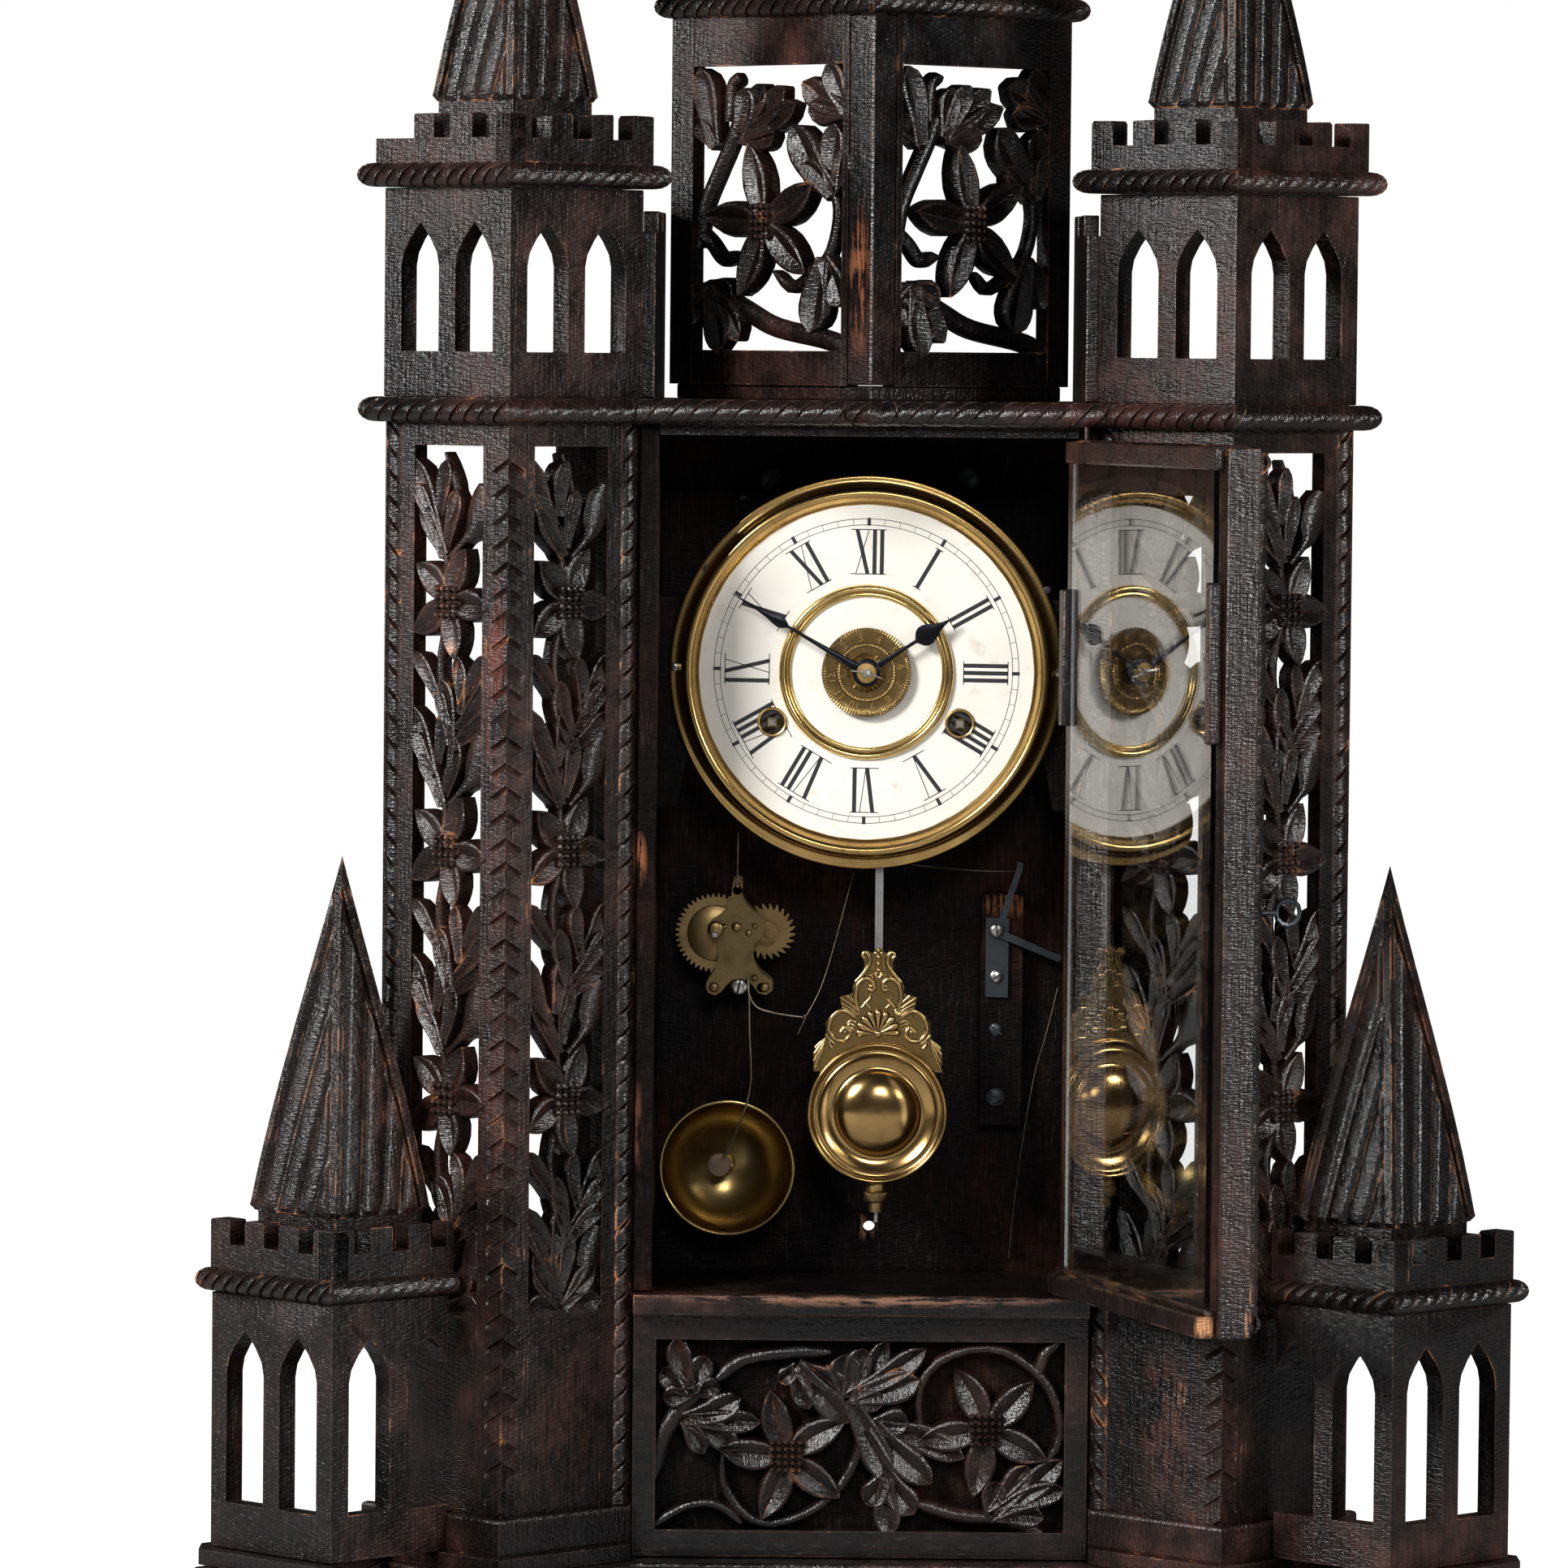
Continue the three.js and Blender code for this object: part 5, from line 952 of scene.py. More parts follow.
def hands():
    hour = [(0.1, 1.5), (0.3, 0.95), (0.5, 0.75), (0.585, 0.8), (0.6, 1.6), (0.63, 3.4),
            (0.67, 4.4), (0.72, 4.45), (0.77, 3.7), (0.84, 2.1), (0.91, 0.95), (1, 0.2)]
    minute = [(0.06, 1.9), (0.2, 1.35), (0.4, 0.85), (0.56, 0.55), (0.585, 0.6), (0.6, 1.3),
              (0.62, 2.1), (0.645, 2.45), (0.68, 2.15), (0.74, 1.3), (0.82, 0.75), (0.92, 0.4),
              (1, 0.12)]
    hand("hour_hand", hour, 42.4, 57, 29.8, 5.9, 2.9)
    hand("minute_hand", minute, 66, 300, 27.7, 3.6, 1.2)
    form = Form()
    form.turned([(0.4, 26.6), (4.0, 26.9), (4.3, 27.2), (4.3, 27.6), (0.4, 27.6)], 0, DIAL_Z, 40)
    form.finish("minute_washer", "minute_hand", BRASS, "brass")
    form = Form()
    turn = Matrix.Rotation(RAD(-15), 4, "Y")
    at = lambda x, y, z: turn @ Vector((x, y, z)) + Vector((0, 0, DIAL_Z))
    form.squared(0, 0, ((24.6, 0.3), (25.3, 1.5), (25.6, 1.7), (30, 1.7)), at)
    form.tube([at(-6.2, 26.2, 2.8), at(0, 26.2, 0), at(5.4, 26.2, -3.6)], 0.42, 4, 8)
    form.finish("minute_arbor_end", "minute_hand", STEEL_BRIGHT, "steel", smooth=False)


bezel()
dial_print()
dial_rings()
alarm_setting()
hands()
screws("bezel_screws", [(-81.2, 398.2, 2.0, 38.2, 118, 1.0), (81.6, 397.2, 2.0, 38.2, 140, 1.0)],
       "case", STEEL_BRIGHT, "steel")


# Crowns, deck, spires and door

def mitre(before, after):
    """Tangent of half the turn between two ways in plan."""
    turn = math.atan2(before.x * after.y - before.y * after.x, before.dot(after))
    return math.tan(turn / 2)


def moulding(form, edge, z, radius, pitch, closed=False):
    """A half-round moulding with gouged slanting notches along an edge that is given in plan."""
    places = [Vector(p) for p in edge]
    count = len(places)
    sides = [places[(i + 1) % count] - places[i] for i in range(count if closed else count - 1)]
    ways = [side.normalized() for side in sides]
    for i, way in enumerate(ways):
        first = mitre(ways[i - 1], way) if closed or i else 0.0
        last = mitre(way, ways[(i + 1) % len(ways)]) if closed or i < len(ways) - 1 else 0.0
        out = Vector((way.y, -way.x, 0))
        start = Vector((*places[i], z)) - out * radius + Vector((*way, 0)) * radius * first
        length = sides[i].length - radius * (first + last)
        rope(form, start, (*way, 0), out, length, radius, pitch, -1.0, 1.5, (first, last), seed=i)


def inset(edge, by):
    """The same closed outline, drawn inwards."""
    places = [Vector(p) for p in edge]
    moved = []
    for i, place in enumerate(places):
        before = (place - places[i - 1]).normalized()
        after = (places[(i + 1) % len(places)] - place).normalized()
        moved.append(place + (Vector((-after.y, after.x)) + after * mitre(before, after)) * by)
    return moved


def block(form, plan, foot, top):
    form.loft([[(*p, z) for p in plan] for z in (foot, top)])


def clipped(form, place, normal):
    """Takes away what lies beyond a plane."""
    mesh = form.mesh
    cut = bmesh.ops.bisect_plane(mesh, geom=mesh.verts[:] + mesh.edges[:] + mesh.faces[:],
                                 plane_co=Vector(place) * MM, plane_no=Vector(normal),
                                 clear_outer=True)
    edges = [item for item in cut["geom_cut"] if isinstance(item, bmesh.types.BMEdge)]
    bmesh.ops.edgenet_fill(mesh, edges=edges)


def battlement(form, face, length, foot, rng, missing=0):
    """One wall of the battlement: four merlons with worn corners."""
    wide, high, notch = 12.0, 21.0, 10.5
    space = (length - 4 * wide) / 3
    low = foot + high - notch
    outline = [(0, foot), (length, foot)]
    for i in range(3, missing - 1, -1):
        left = i * (wide + space)
        right = left + wide
        top = foot + high - rng.uniform(0, 0.4)
        soft = rng.uniform(0.6, 1.3)
        outline += [(right, top - (soft if i < 3 else 0.4)), (right - soft, top),
                    (left + soft, top + rng.uniform(-0.3, 0.2)), (left, top - soft)]
        if i > 0:
            outline.append((left, low + rng.uniform(-0.2, 0.2)))
            outline.append((left - space, low + rng.uniform(-0.2, 0.2)) if i > missing
                           else (0, low))
    form.plate(outline, -9, 0, face)


def crown(node, x, middle, cornice_half, wall_half, foot, seed, missing=0, clip=None):
    """A rope cornice with a battlement on its two front sides."""
    rng = random.Random(seed)
    form = Form()
    radius, wall_foot = 5.0, foot + 9.6
    cornice = diamond(x, middle, cornice_half)
    moulding(form, cornice, foot + radius, radius, 7.4, closed=True)
    block(form, inset(cornice, radius), foot, foot + 2 * radius)
    length = wall_half * math.sqrt(2)
    corner = (x, middle - wall_half, wall_half)
    battlement(form, front_face(False, *corner), length, wall_foot, rng, missing)
    battlement(form, front_face(True, *corner), length, wall_foot, rng)
    if clip:
        clipped(form, *clip)
    made = form.finish(node + "_carved", "case", UPRIGHT, "ebonised_wood", (node,), 35)
    soften(made, 0.7)


def deck():
    """The main deck with the rope moulding along its front edge."""
    form = Form()
    right = [(11, -20.5), (98, -20.5), (149.5, -72), (214.5, -7), (142, 65.5)]
    left = [(-x, y) for x, y in right[::-1]]
    front = left + [(0, -29)] + right
    radius, side, back = 5.25, 142, 102.8
    moulding(form, front, 506.7, radius, 8.8)
    core = inset(front + [(side, 103), (-side, 103)], radius)
    core[-2:] = [Vector((side, back)), Vector((-side, back))]
    block(form, core, 501.45, 511.9)
    form.box((136, 62, 501.5), (side, back, 511.9))
    form.box((-side, 62, 501.5), (-136, back, 511.9))
    form.box((-87.6, -9, 497), (87.6, -1, 501.6))
    form.finish("main_deck_carved", "case", LEVEL, "ebonised_wood", ("main_deck",), 35)


# On a spire's face, from its right arris inwards: the band's edge, the groove, the reeds' end
BAND, GROOVE, REEDS = 3.9, 4.7, 6.6


def groove_at(gap, deep):
    """Depth on a spire's face: its reeds end at a groove beside the band along the right arris."""
    groove = 2.2
    if gap >= REEDS:
        return deep
    if gap >= GROOVE:
        return deep + (groove - deep) * (REEDS - gap) / (REEDS - GROOVE)
    return groove * max(0.0, (gap - BAND) / (GROOVE - BAND))


def spire(node, x, middle, foot, half, high, block_half, block_high, seed):
    """A four-sided spire: each face's reeds follow its left arris up to a band on the right."""
    rng = random.Random(seed)
    form = Form()
    base = foot + block_high
    block(form, diamond(x, middle, block_half), foot - 1, base)
    apex, axis = Vector((x, middle, base + high)), Vector((x, middle, 0))
    ring = [Vector((*p, base)) for p in diamond(x, middle, half)]
    reeds, samples, lowest, tuck = 4, 64, 0.004, 1.6
    for f in range(4):
        left, right = ring[f], ring[(f + 1) % 4]
        across, rise = right - left, apex - left
        inward = -across.cross(rise).normalized()
        band = 4.2 / across.length
        step = (1 - 2 * band) / reeds
        bumps = [rng.uniform(0.8, 1.15) for _ in range(reeds + 2)]
        columns = []
        for i in range(samples + 1):
            s = i / samples
            phase = (s - band) / step
            reach = 1 - s
            deep = 0.0
            if phase >= -0.1:
                near = abs(phase - round(phase)) * step * across.length
                deep = 2.0 * max(0.0, 1 - near / 2.4) ** 1.4 * bumps[int(round(max(phase, 0)))]
                deep += 0.5 * (2 * (phase % 1) - 1) ** 2
            start = left + across * s
            column = [start + (axis - start) * 0.06]
            column[0].z = base - tuck + rng.uniform(-0.35, 0.1)
            limit = max(lowest, reach - REEDS / across.length)
            heights = [min(t, limit) for t in (lowest, 0.03, 0.2, 0.4, 0.6, 0.8)]
            heights += [max(lowest, reach - gap / across.length)
                        for gap in (REEDS, 5.6, GROOVE, BAND, 2.0, 0.0)]
            for t in heights:
                place = start + rise * t
                swell = (place - axis) * (0.26 * t * (1 - t))
                swell.z = 0
                cut = groove_at((reach - t) * across.length, deep) * min(1.0, (1 - t) * 6)
                column.append(place + swell + inward * cut)
            columns.append(column)
        form.loft(columns, around=False)
    form.sheet([(*p, base - tuck) for p in diamond(x, middle, half * 0.94)])
    form.finish(node + "_reeded", "case", SPIRES, "ebonised_wood", (node,), 40)


def door():
    """The open door: joinery, ledges and blocks on its back, ropes round its glass, hinge wire."""
    turn = RAD(108.5)
    pin = Vector((90.5, -16.7, 0))
    along = Vector((-math.cos(turn), -math.sin(turn), 0))
    out = Vector((math.sin(turn), -math.cos(turn), 0))
    face = lambda u, v, h: pin + along * u + Vector((0, 0, v)) + out * h
    low, high, near, far, stile, half = 139.6, 495.9, -2.9, 180.9, 20, 7
    form = Form()
    form.framing(face, near, near + stile, far - stile, far, low, low + stile, high - stile, high,
                 -half, half, half)
    start, end = 3.6, 177.4
    for foot, top, proud in ((low + 0.1, low + 9, 7.9), (low + 9, low + 11.4, 4.4),
                             (high - 9, high - 0.1, 3.9)):
        form.box((start, foot, -half - proud), (end, top, -half), face)
    for u, top in ((start, 434.5), (171.5, 442)):
        form.box((u, 377.5, -12.9), (u + 5.8, top, -half), face)
    made = form.finish("door_joinery", "door", DOOR_WOOD, "ebonised_wood", ("door_frame",), 35)
    soften(made, 0.9)
    form = Form()
    wide, tall = far - near - 12, high - low - 4
    for u, v, way, length, lean in (
            (far - 6, low + 2, (0, 0, 1), tall, -1), (near + 14, low + 2, (0, 0, 1), tall, 1),
            (near + 10, low + 6, along, wide, 1), (near + 10, high - 6, along, wide, 1)):
        rope(form, face(u, v, half), way, out, length, 4.0, 8.0, lean, 1.5, flat=1.2)
    form.tube([(*pin.xy, 132.9), (*pin.xy, 300), (*pin.xy, 506.6)], 1.05, 4, 10)
    form.finish("door_ropes", "door", UPRIGHT, "ebonised_wood", sharp=35)


deck()
for side, sign in (("left", -1), ("right", 1)):
    crown("turret_crown_" + side, sign * 149.5, -6, 66, 58, 599.4, 3 + sign, 1 if sign < 0 else 0)
    crown("side_turret_crown_" + side, sign * 218, -37, 60.4, 53.7, 138.9, 7 + sign,
          clip=((sign * 213.5, 0, 0), (-sign, 1, 0)))
    spire("turret_spire_" + side, sign * 149.5, -6, 609.5, 34.6, 135.7, 32, 27.6, 20 + sign)
    spire("side_turret_spire_" + side, sign * 218, -37, 149.2, 37.5, 146.7, 34, 25.3, 30 + sign)
crown("lantern_crown", 0, 63, 93, 86, 673.2, 12, clip=((0, 102.9, 0), (0, 1, 0)))
spire("lantern_spire", 0, 49, 683.2, 54, 187.8, 49, 29.8, 41)
door()


# Pendulum, bell, alarm train and strike release

# Middle of the bob, across and up
BOB = (6.5, 209.0)
FLAT = plane((0, 0, 0), (1, 0, 0), (0, 1, 0))


def crest():
    """The pressed brass ornament above the bob: shell, scrolls and leaves on a shaped sheet."""
    half = [(27.2, 17.5), (27.4, 24.5), (26.6, 28.2), (23.8, 30.2), (22, 33.2), (22.2, 38.2),
            (20.4, 41.6), (17.6, 43.2), (15.3, 44.2), (16.4, 49.4), (12.4, 50.4), (10.9, 51.2),
            (10.9, 54), (9.2, 57.4), (6.6, 60.8), (5.8, 64), (7.3, 66.6), (6.6, 69), (4.6, 69.3),
            (3.1, 67.9), (2.2, 68.6), (1.3, 69.9)]
    outline = half + [(-x, z) for x, z in half[::-1]]
    skin = 40.2
    sheet = Form()
    sheet.plate([(BOB[0] + x, BOB[1] + z) for x, z in outline], skin + 1.1, skin, FLAT)
    form = Form()

    def bead(x, z, radius):
        rings = []
        for up, out in circle(7, math.pi * 7 / 12)[1:]:
            y, r = skin - radius * 0.7 * up, radius * out
            rings.append([(BOB[0] + x + r * c, y, BOB[1] + z + r * s) for c, s in circle(12)])
        form.loft(rings)

    def strand(side, points, radius, end, steps=24):
        line = [(BOB[0] + side * x, skin - 0.2, BOB[1] + z) for x, z in points]
        form.tube(line, radius, steps, 10, lambda t: 1 + (end - 1) * t)

    for side in (1, -1):
        for line, radius, end, steps in (
                (((9.8, 41), (14.8, 43.6), (19.2, 41.2), (21, 36.2), (18.4, 31.4), (13.8, 31),
                  (11.8, 34.2), (13.9, 36.4), (15.9, 34.4)), 1.15, 0.75, 60),
                (((8.4, 43.5), (9.7, 49.6), (8.8, 54.6), (5.2, 57.4), (2.1, 55.4), (2.3, 52.4),
                  (4.4, 52.8)), 1.2, 0.7, 50),
                (((9.6, 55.8), (6.2, 59.8), (4.2, 63.4), (4.0, 66.8), (5.7, 68.5), (7.0, 67.2),
                  (6.0, 65.9)), 1.1, 0.7, 44)):
            strand(side, line, radius, end, steps)
        strand(side, ((2.2, 57.2), (3.0, 60.4), (2.2, 63.4), (1.9, 66.4)), 0.6, 0.6)
        strand(side, ((0.4, 57.6), (1.8, 59.2), (3.4, 58.4)), 0.7, 0.4)
        for a, b in (((7.4, 42.6), (15.9, 49)), ((8.0, 42.0), (15.8, 46.9)),
                     ((8.6, 41.6), (15.3, 44.9)), ((7.2, 43.6), (13.4, 50)),
                     ((22.4, 31.4), (26.6, 27.6)), ((22.6, 30.6), (26.9, 25.2)),
                     ((22.8, 29.4), (27, 22)), ((23, 28), (26.8, 19))):
            middle = ((a[0] + b[0]) / 2, (a[1] + b[1]) / 2 + 0.3)
            strand(side, (a, middle, b), 0.55, 1.3, 8)
        strand(side, ((5.4, 46.6), (3.6, 49), (3.2, 51)), 0.75, 0.5)
        strand(side, ((6.6, 45.2), (5.2, 47.8), (5.6, 50.6)), 0.75, 0.5)
        strand(side, ((3.4, 44.6), (5.4, 46.4), (7.4, 44.8)), 0.7, 0.5)
        for k in range(4):
            strand(side, ((9.6 + 0.5 * k, 38.6 - 1.5 * k), (11.4 + 0.4 * k, 39.4 - 1.4 * k),
                          (13 + 0.1 * k, 38.2 - 1.2 * k)), 0.6, 0.5, 8)
        strand(side, ((18.6, 29.6), (20.6, 31.4), (22.4, 33.4)), 0.9, 0.5)
        strand(side, ((19.4, 27.6), (20.4, 29.2), (20.0, 30.8)), 0.9, 0.6)
        bead(side * 14.2, 34.6, 1.1)
        bead(side * 3.2, 53.9, 1.0)
    for k in range(9):
        degrees, long = (k - 4) * 21.5, 10.6 - 0.25 * abs(k - 4)
        rings = []
        for t, wide, high in ((0.08, 0.25, 0.4), (0.3, 0.62, 0.7), (0.6, 1.2, 1.1),
                              (0.82, 1.62, 1.4), (0.94, 1.45, 1.2), (1.0, 0.6, 0.5)):
            arch = [(*spun(wide * c, long * t, degrees), s) for c, s in circle(16)[:9]]
            rings.append([(BOB[0] + x, skin + 0.1 - high * s, BOB[1] + 33.6 + z)
                          for x, z, s in arch])
        form.loft(rings, around=False)
    for x, z, r in ((0.2, 33.6, 1.7), (0, 69.2, 0.9), (-1.3, 68, 0.8), (1.3, 68, 0.8),
                    (0, 66.4, 1.0), (0, 63.6, 0.8), (0, 60.9, 0.9), (-1.1, 59.4, 0.8),
                    (1.1, 59.4, 0.8)):
        bead(x, z, r)
    sheet.finish("crest_sheet", "pendulum", DISC, "brass", smooth=False)
    form.finish("crest_relief", "pendulum", CREST, "brass", sharp=60)


def bob():
    form = Form()
    front = [(0.05, 33.3), (4, 33.4), (8, 33.8), (12, 34.8), (15, 36.2), (17.4, 38.2), (18.6, 39.6),
             (20, 39.7), (22.4, 39), (24.2, 38.0), (24.8, 37.6), (25.2, 37.9), (26, 38.3),
             (27, 38.1), (27.8, 37.3), (28.6, 36.5), (29.1, 36.3), (29.6, 36.5), (30, 37.4),
             (30, 41.8), (29, 42.1), (0.05, 42.1)]
    form.turned(front, *BOB, 120)
    form.finish("bob_face", "pendulum", BOB_BRASS, "brass", ("pendulum_bob",), 60)


def nut():
    """The rating nut on its thread: (height, radius, depth of the knurling)."""
    form = Form()
    x, y = BOB[0], 43.6
    rings = []
    for z, r, knurl in ((178.7, 4.6, 0), (177.4, 4.9, 0), (175.9, 4.9, 0), (175.4, 4.4, 0),
                        (175.0, 5.0, 0), (174.8, 5.4, 0.25), (171.4, 5.4, 0.25), (171.0, 5.0, 0),
                        (170.6, 3.5, 0), (166.4, 3.3, 0)):
        rings.append([(x + (r - k % 2 * knurl) * c, y + (r - k % 2 * knurl) * s, z)
                      for k, (c, s) in enumerate(circle(72))])
    form.loft(rings)
    form.finish("nut_knurled", "rating_nut", BRASS_DARK_SHADED, "brass", ("rating_nut",), 40)


def gong():
    """The dish of the strike bell on the head of its post."""
    form = Form()
    x, z = -57.4, 182.7
    quarter = circle(15, math.pi / 2)
    outside = [(29 * c, 62 + 22 * s) for c, s in quarter] + [(0.05, 84), (0.05, 82.7)]
    inside = [(27.7 * c, 62.1 + 20.6 * s) for c, s in quarter[::-1]]
    form.turned([(28.4, 61.7)] + outside + inside, x, z, 96)
    form.turned([(0.05, 78), (3, 78), (3.4, 78.6), (3.4, 82.7), (0.05, 82.7)], x, z, 24)
    form.finish("gong_dish", "case", BELL, "brass", ("bell",), 60)


def pin(form, x, z, radius, front, back, steps):
    """A plain round bar between two depths."""
    form.turned([(0.05, front), (radius, front), (radius, back), (0.05, back)], x, z, steps)


def alarm_plate():
    """Front and back plate of the alarm train, their pillars and the pivots in the front one."""
    outline = [(-55.6, 306.0), (-53.8, 307.2), (-52.0, 306.2), (-51.6, 304), (-52.2, 300),
               (-50.6, 296.6), (-47.4, 293), (-44.6, 291.2), (-42.2, 288.4), (-42.0, 284.8),
               (-43.6, 281.4), (-46.4, 279), (-47.2, 275.6), (-46.4, 271), (-43.8, 266.6),
               (-40.6, 264.4), (-38.4, 262.2), (-38.6, 258.8), (-41.4, 256.8), (-44.6, 257.6),
               (-46.8, 260.6), (-48.6, 262.6), (-52, 263.8), (-55.6, 263.2), (-58.2, 261),
               (-60.4, 258.2), (-63.2, 256.4), (-66.2, 257.6), (-67.2, 260.6), (-65.6, 264),
               (-63.2, 268), (-61.8, 273), (-62.2, 277.4), (-64.6, 280), (-66.6, 282),
               (-66.8, 285.6), (-64.8, 289), (-61.4, 291.2), (-58.4, 294.4), (-56.6, 298.8),
               (-56.2, 303)]
    form = Form()
    face = 66.0
    form.plate(outline, face + 1.5, face, FLAT)
    form.plate(outline, 88, 86.5, FLAT)
    for x, z in ((-54, 301.7), (-63.7, 259.9), (-43.4, 260)):
        pin(form, x, z, 2, face, 90.6, 16)
    form.finish("alarm_plates", "case", PLATE, "brass", ("alarm_frame",), 40)
    form = Form()
    for x, z, r, proud in ((-63.2, 285, 3.4, 1.2), (-49, 283.4, 1.6, 0), (-54.2, 286, 2.0, 1.4),
                           (-46.6, 286.4, 1.1, 1.0), (-53.9, 303.6, 1.1, 0.8),
                           (-59.4, 286.2, 1.0, 0.7), (-63.7, 260, 2.0, 1.0), (-42, 260.2, 2.0, 1.0),
                           (-46.4, 264.2, 1.3, 1.4)):
        y = face - proud
        form.turned([(0.05, y - 0.5), (r * 0.6, y - 0.45), (r * 0.92, y - 0.1), (r, y + 0.3),
                     (r, face + 0.2), (0.05, face + 0.2)], x, z, 24)
    form.finish("alarm_pivots", "case", BRASS_DARK_SHADED, "brass", sharp=50)


def gear(form, x, z, outer, root, teeth, y, thick, bore, lean=0.0):
    """A toothed disc with a bore."""
    rings = []
    for i in range(teeth):
        for share, radius in ((0, root), (0.28 + lean, outer), (0.5 + lean, outer), (0.78, root)):
            step = 2 * math.pi * (i + share) / teeth
            c, s = math.cos(step), math.sin(step)
            rings.append([(x + r * c, depth, z + r * s) for r, depth in (
                (radius, y), (radius, y + thick), (bore, y + thick), (bore, y))])
    form.loft(rings, wrap=True)


def alarm_wheels():
    form = Form()
    x, z = -63.4, 283.0
    gear(form, x, z, 17, 15.3, 44, 70, 1.2, 3)
    form.turned([(3, 69.2), (11.5, 69.2), (12, 69.6), (12, 70.1), (3, 70.1)], x, z, 48)
    pin(form, x, z, 1.8, 63, 87.4, 20)
    form.finish("alarm_great_wheel", "alarm_main_wheel", BRASS_DARK_SHADED, "brass",
                ("alarm_main_wheel",), 40)
    form = Form()
    form.squared(x, z, ((58.2, 1.0), (58.6, 1.3), (64, 1.3)))
    form.finish("alarm_winding_square", "alarm_main_wheel", STEEL_BRIGHT, "steel", smooth=False)
    form = Form()
    x, z = -41.0, 283.5
    gear(form, x, z, 12, 9.6, 24, 75, 1, 1.0, 0.3)
    pin(form, x, z, 1.1, 65.1, 87.4, 16)
    pin(form, x, z, 4.6, 69.4, 72.2, 16)
    form.finish("alarm_escape_teeth", "alarm_escape_wheel", BRASS_DARK_SHADED, "brass",
                ("alarm_escape_wheel",), 40)


def wires():
    """The alarm hammer with its wire and tail, and the thin wires of strike and alarm."""
    form = Form()
    arbor = (-49.0, 63, 265.0)
    form.tube([arbor, (-48.6, 62, 256), (-48.2, 60, 240), (-47.4, 59.2, 222), (-49.2, 59.2, 210.6),
               (-51.5, 60.6, 204), (-55.6, 64.6, 193), (-59.2, 66.6, 186)], 0.42, 60)
    form.tube([arbor, (-48.9, 62.4, 258), (-45.2, 62, 252), (-38, 62, 249.6), (-30.6, 62, 248.4),
               (-24.9, 62, 247.8)], 0.55, 40)
    form.finish("alarm_hammer_wire", "alarm_hammer", WIRE, "steel", ("alarm_hammer",), 50)
    form = Form()
    form.turned([(0.05, 67), (4.7, 67), (5, 67.4), (5, 70.6), (4.7, 71), (0.05, 71)],
                -60.7, 183.6, 36)
    form.finish("alarm_hammer_head", "alarm_hammer", HAMMER, "steel", sharp=50)
    form = Form()
    for radius, steps, line in (
            (0.2, 20, [(-27.6, 61, 240.4), (-24.4, 61.2, 247.6), (-16, 62, 266), (-4.2, 64, 310)]),
            (0.4, 14, [(-25.6, 61.6, 247.2), (-24.4, 60.6, 248.6), (-23.4, 61.6, 247.6),
                       (-24.4, 62.6, 246.8)]),
            (0.25, 8, [(-54.2, 64.6, 303), (-54.0, 66, 314), (-53.9, 66, 326)]),
            (0.16, 12, [(20.7, 70, 313.1), (43.7, 76, 310.7), (66.6, 79, 309.9)]),
            (0.16, 30, [(84, 81.5, 260), (79.5, 81.5, 241), (74.4, 81.5, 222), (69.7, 81.5, 194),
                        (66.5, 82, 168), (64.2, 86, 142.6)])):
        form.tube(line, radius, steps, 6)
    form.finish("pull_wires", "case", WIRE, "steel", sharp=60)


def release():
    """The plate on the wooden strip, the lever on it, and the screws of plate, strip and case."""
    form = Form()
    form.plate([(52.9, 255.8), (62.6, 255.6), (62.8, 289.7), (52.8, 290)], 82.7, 81.1, FLAT)
    form.finish("release_plate", "case", IRON, "steel", ("lever_plate",), smooth=False)
    form = Form()
    form.plate([(54.9, 283.6), (57.2, 281.6), (60.2, 283), (60.2, 285.6), (68.4, 311.0),
                (68.6, 313.6), (66.2, 314.2), (66.0, 312.0), (57.6, 287.4)], 80.7, 79.4, FLAT)
    form.plate([(57.0, 286.6), (55.0, 284.2), (56.2, 281.6), (59.0, 281.4), (84.0, 271.4),
                (85.3, 272.2), (85.2, 274.4), (83.4, 274.6), (60.6, 284.4)], 80.65, 79.35, FLAT)
    form.finish("release_lever", "crank_lever", IRON, "steel", ("crank_lever",), smooth=False)
    for name, look, places in (
            ("release_screws", STEEL_BRIGHT, [(57.6, 284.6, 3.0, 79.3, 95, 1.4),
                                              (57.6, 264.6, 2.9, 81.1, 35, 1.4)]),
            ("strip_screws", IRON, [(57.8, 241.4, 3.1, 82.9, 142, 0.8),
                                    (57.8, 212.6, 3.7, 82.9, 170, 0.5)]),
            ("alarm_screws", STEEL_BRIGHT, [(-53.0, 260.4, 3.7, 84, 78, 16.0)]),
            ("case_screws", IRON, [(-41.3, 477.3, 5.0, 90.8, 55, 3),
                                   (43.8, 478.5, 5.0, 90.8, 45, 3),
                                   (-53.3, 469, 2.0, 90.8, 20, 1)])):
        screws(name, places, "case", look, "steel")


for make in (crest, bob, nut, gong, alarm_plate, alarm_wheels, wires, release):
    make()


# Camera, light and backdrop

def camera():
    """A long lens in front of the dial, tilted 2.9 degrees down and rolled half a degree."""
    data = bpy.data.cameras.new("camera")
    data.lens, data.sensor_width, data.clip_end = 199.4, 36.0, 20.0
    made = add("camera", data)
    turn = Matrix.Rotation(RAD(90 - 2.894), 4, "X") @ Matrix.Rotation(RAD(0.55), 4, "Z")
    made.matrix_world = Matrix.Translation((-0.0345, -3.6445, 0.535)) @ turn
    bpy.context.scene.camera = made


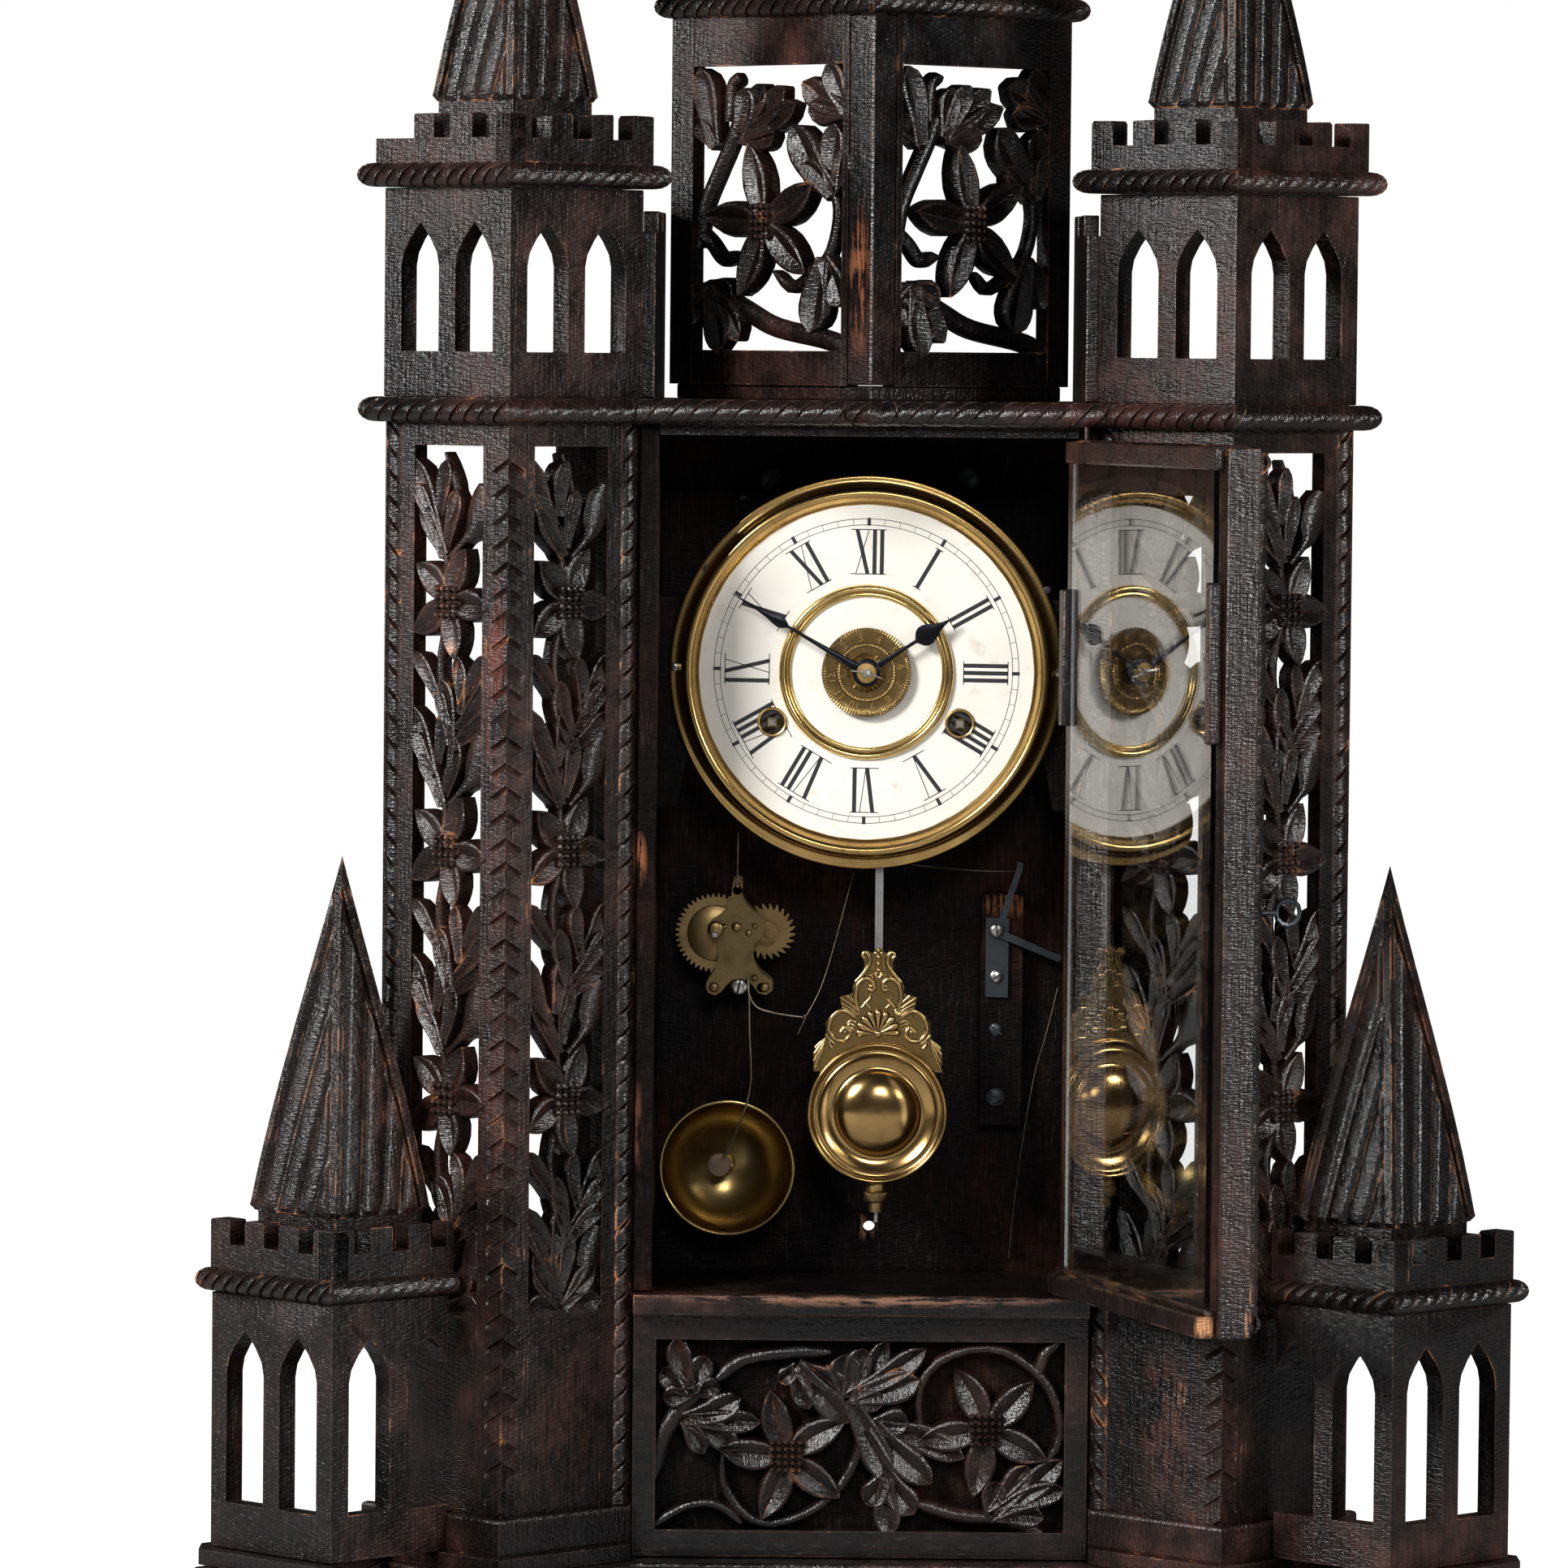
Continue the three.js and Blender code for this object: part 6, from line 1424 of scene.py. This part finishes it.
def floor_white():
    """A matt pale surface that looks white to the camera and through glass, and grey in metal."""
    s = Shader("floor_white")
    s.done(Base_Color=(0.3, 0.3, 0.3), Roughness=0.9)
    rays = s.node("LightPath")
    seen = s.math("MAXIMUM", rays.outputs["Is Camera Ray"], rays.outputs["Is Transmission Ray"])
    glow = s.node("Emission", Color=(1, 1, 1, 1), Strength=seen)
    both = s.node("AddShader")
    s.put(both.inputs[0], s.bsdf.outputs[0])
    s.put(both.inputs[1], glow.outputs[0])
    s.put(s.tree.nodes["Material Output"].inputs["Surface"], both.outputs[0])
    return s.material


def lamp(name, place, height, size, power):
    """A square soft lamp that points at the middle of the clock, at a height."""
    data = bpy.data.lights.new(name, "AREA")
    data.shape, data.size, data.energy = "SQUARE", size, power
    made = add(name, data)
    made.location = place
    aim = Vector((0, 0, height)) - Vector(place)
    made.rotation_euler = aim.to_track_quat("-Z", "Y").to_euler()


def studio():
    """A white floor and world that add little light of their own, and four soft lamps."""
    mesh = bpy.data.meshes.new("floor")
    form = bmesh.new()
    bmesh.ops.create_grid(form, x_segments=1, y_segments=1, size=6)
    form.to_mesh(mesh)
    form.free()
    mesh.materials.append(floor_white())
    floor = add("floor", mesh)
    world = bpy.data.worlds.new("studio")
    bpy.context.scene.world = world
    world.use_nodes = True
    tree = world.node_tree
    rays = tree.nodes.new("ShaderNodeLightPath")
    seen = tree.nodes.new("ShaderNodeMath")
    seen.operation = "MAXIMUM"
    level = tree.nodes.new("ShaderNodeMapRange")
    level.inputs["To Min"].default_value = 0.03
    level.inputs["To Max"].default_value = 1.0
    back = tree.nodes["Background"]
    back.inputs["Color"].default_value = (1, 1, 1, 1)
    for output, socket in ((rays.outputs["Is Camera Ray"], seen.inputs[0]),
                           (rays.outputs["Is Transmission Ray"], seen.inputs[1]),
                           (seen.outputs[0], level.inputs["Value"]),
                           (level.outputs["Result"], back.inputs["Strength"])):
        tree.links.new(output, socket)
    lamp("key", (-1.75, -1.75, 1.75), 0.45, 0.7, 112)
    lamp("fill", (2.1, -1.5, 1.2), 0.42, 0.6, 56)
    lamp("side", (-2.2, -0.35, 1.1), 0.4, 0.5, 24)
    lamp("front", (0.3, -3.4, 1.7), 0.4, 0.7, 24)


camera()
studio()
bpy.context.scene.view_settings.view_transform = "Standard"
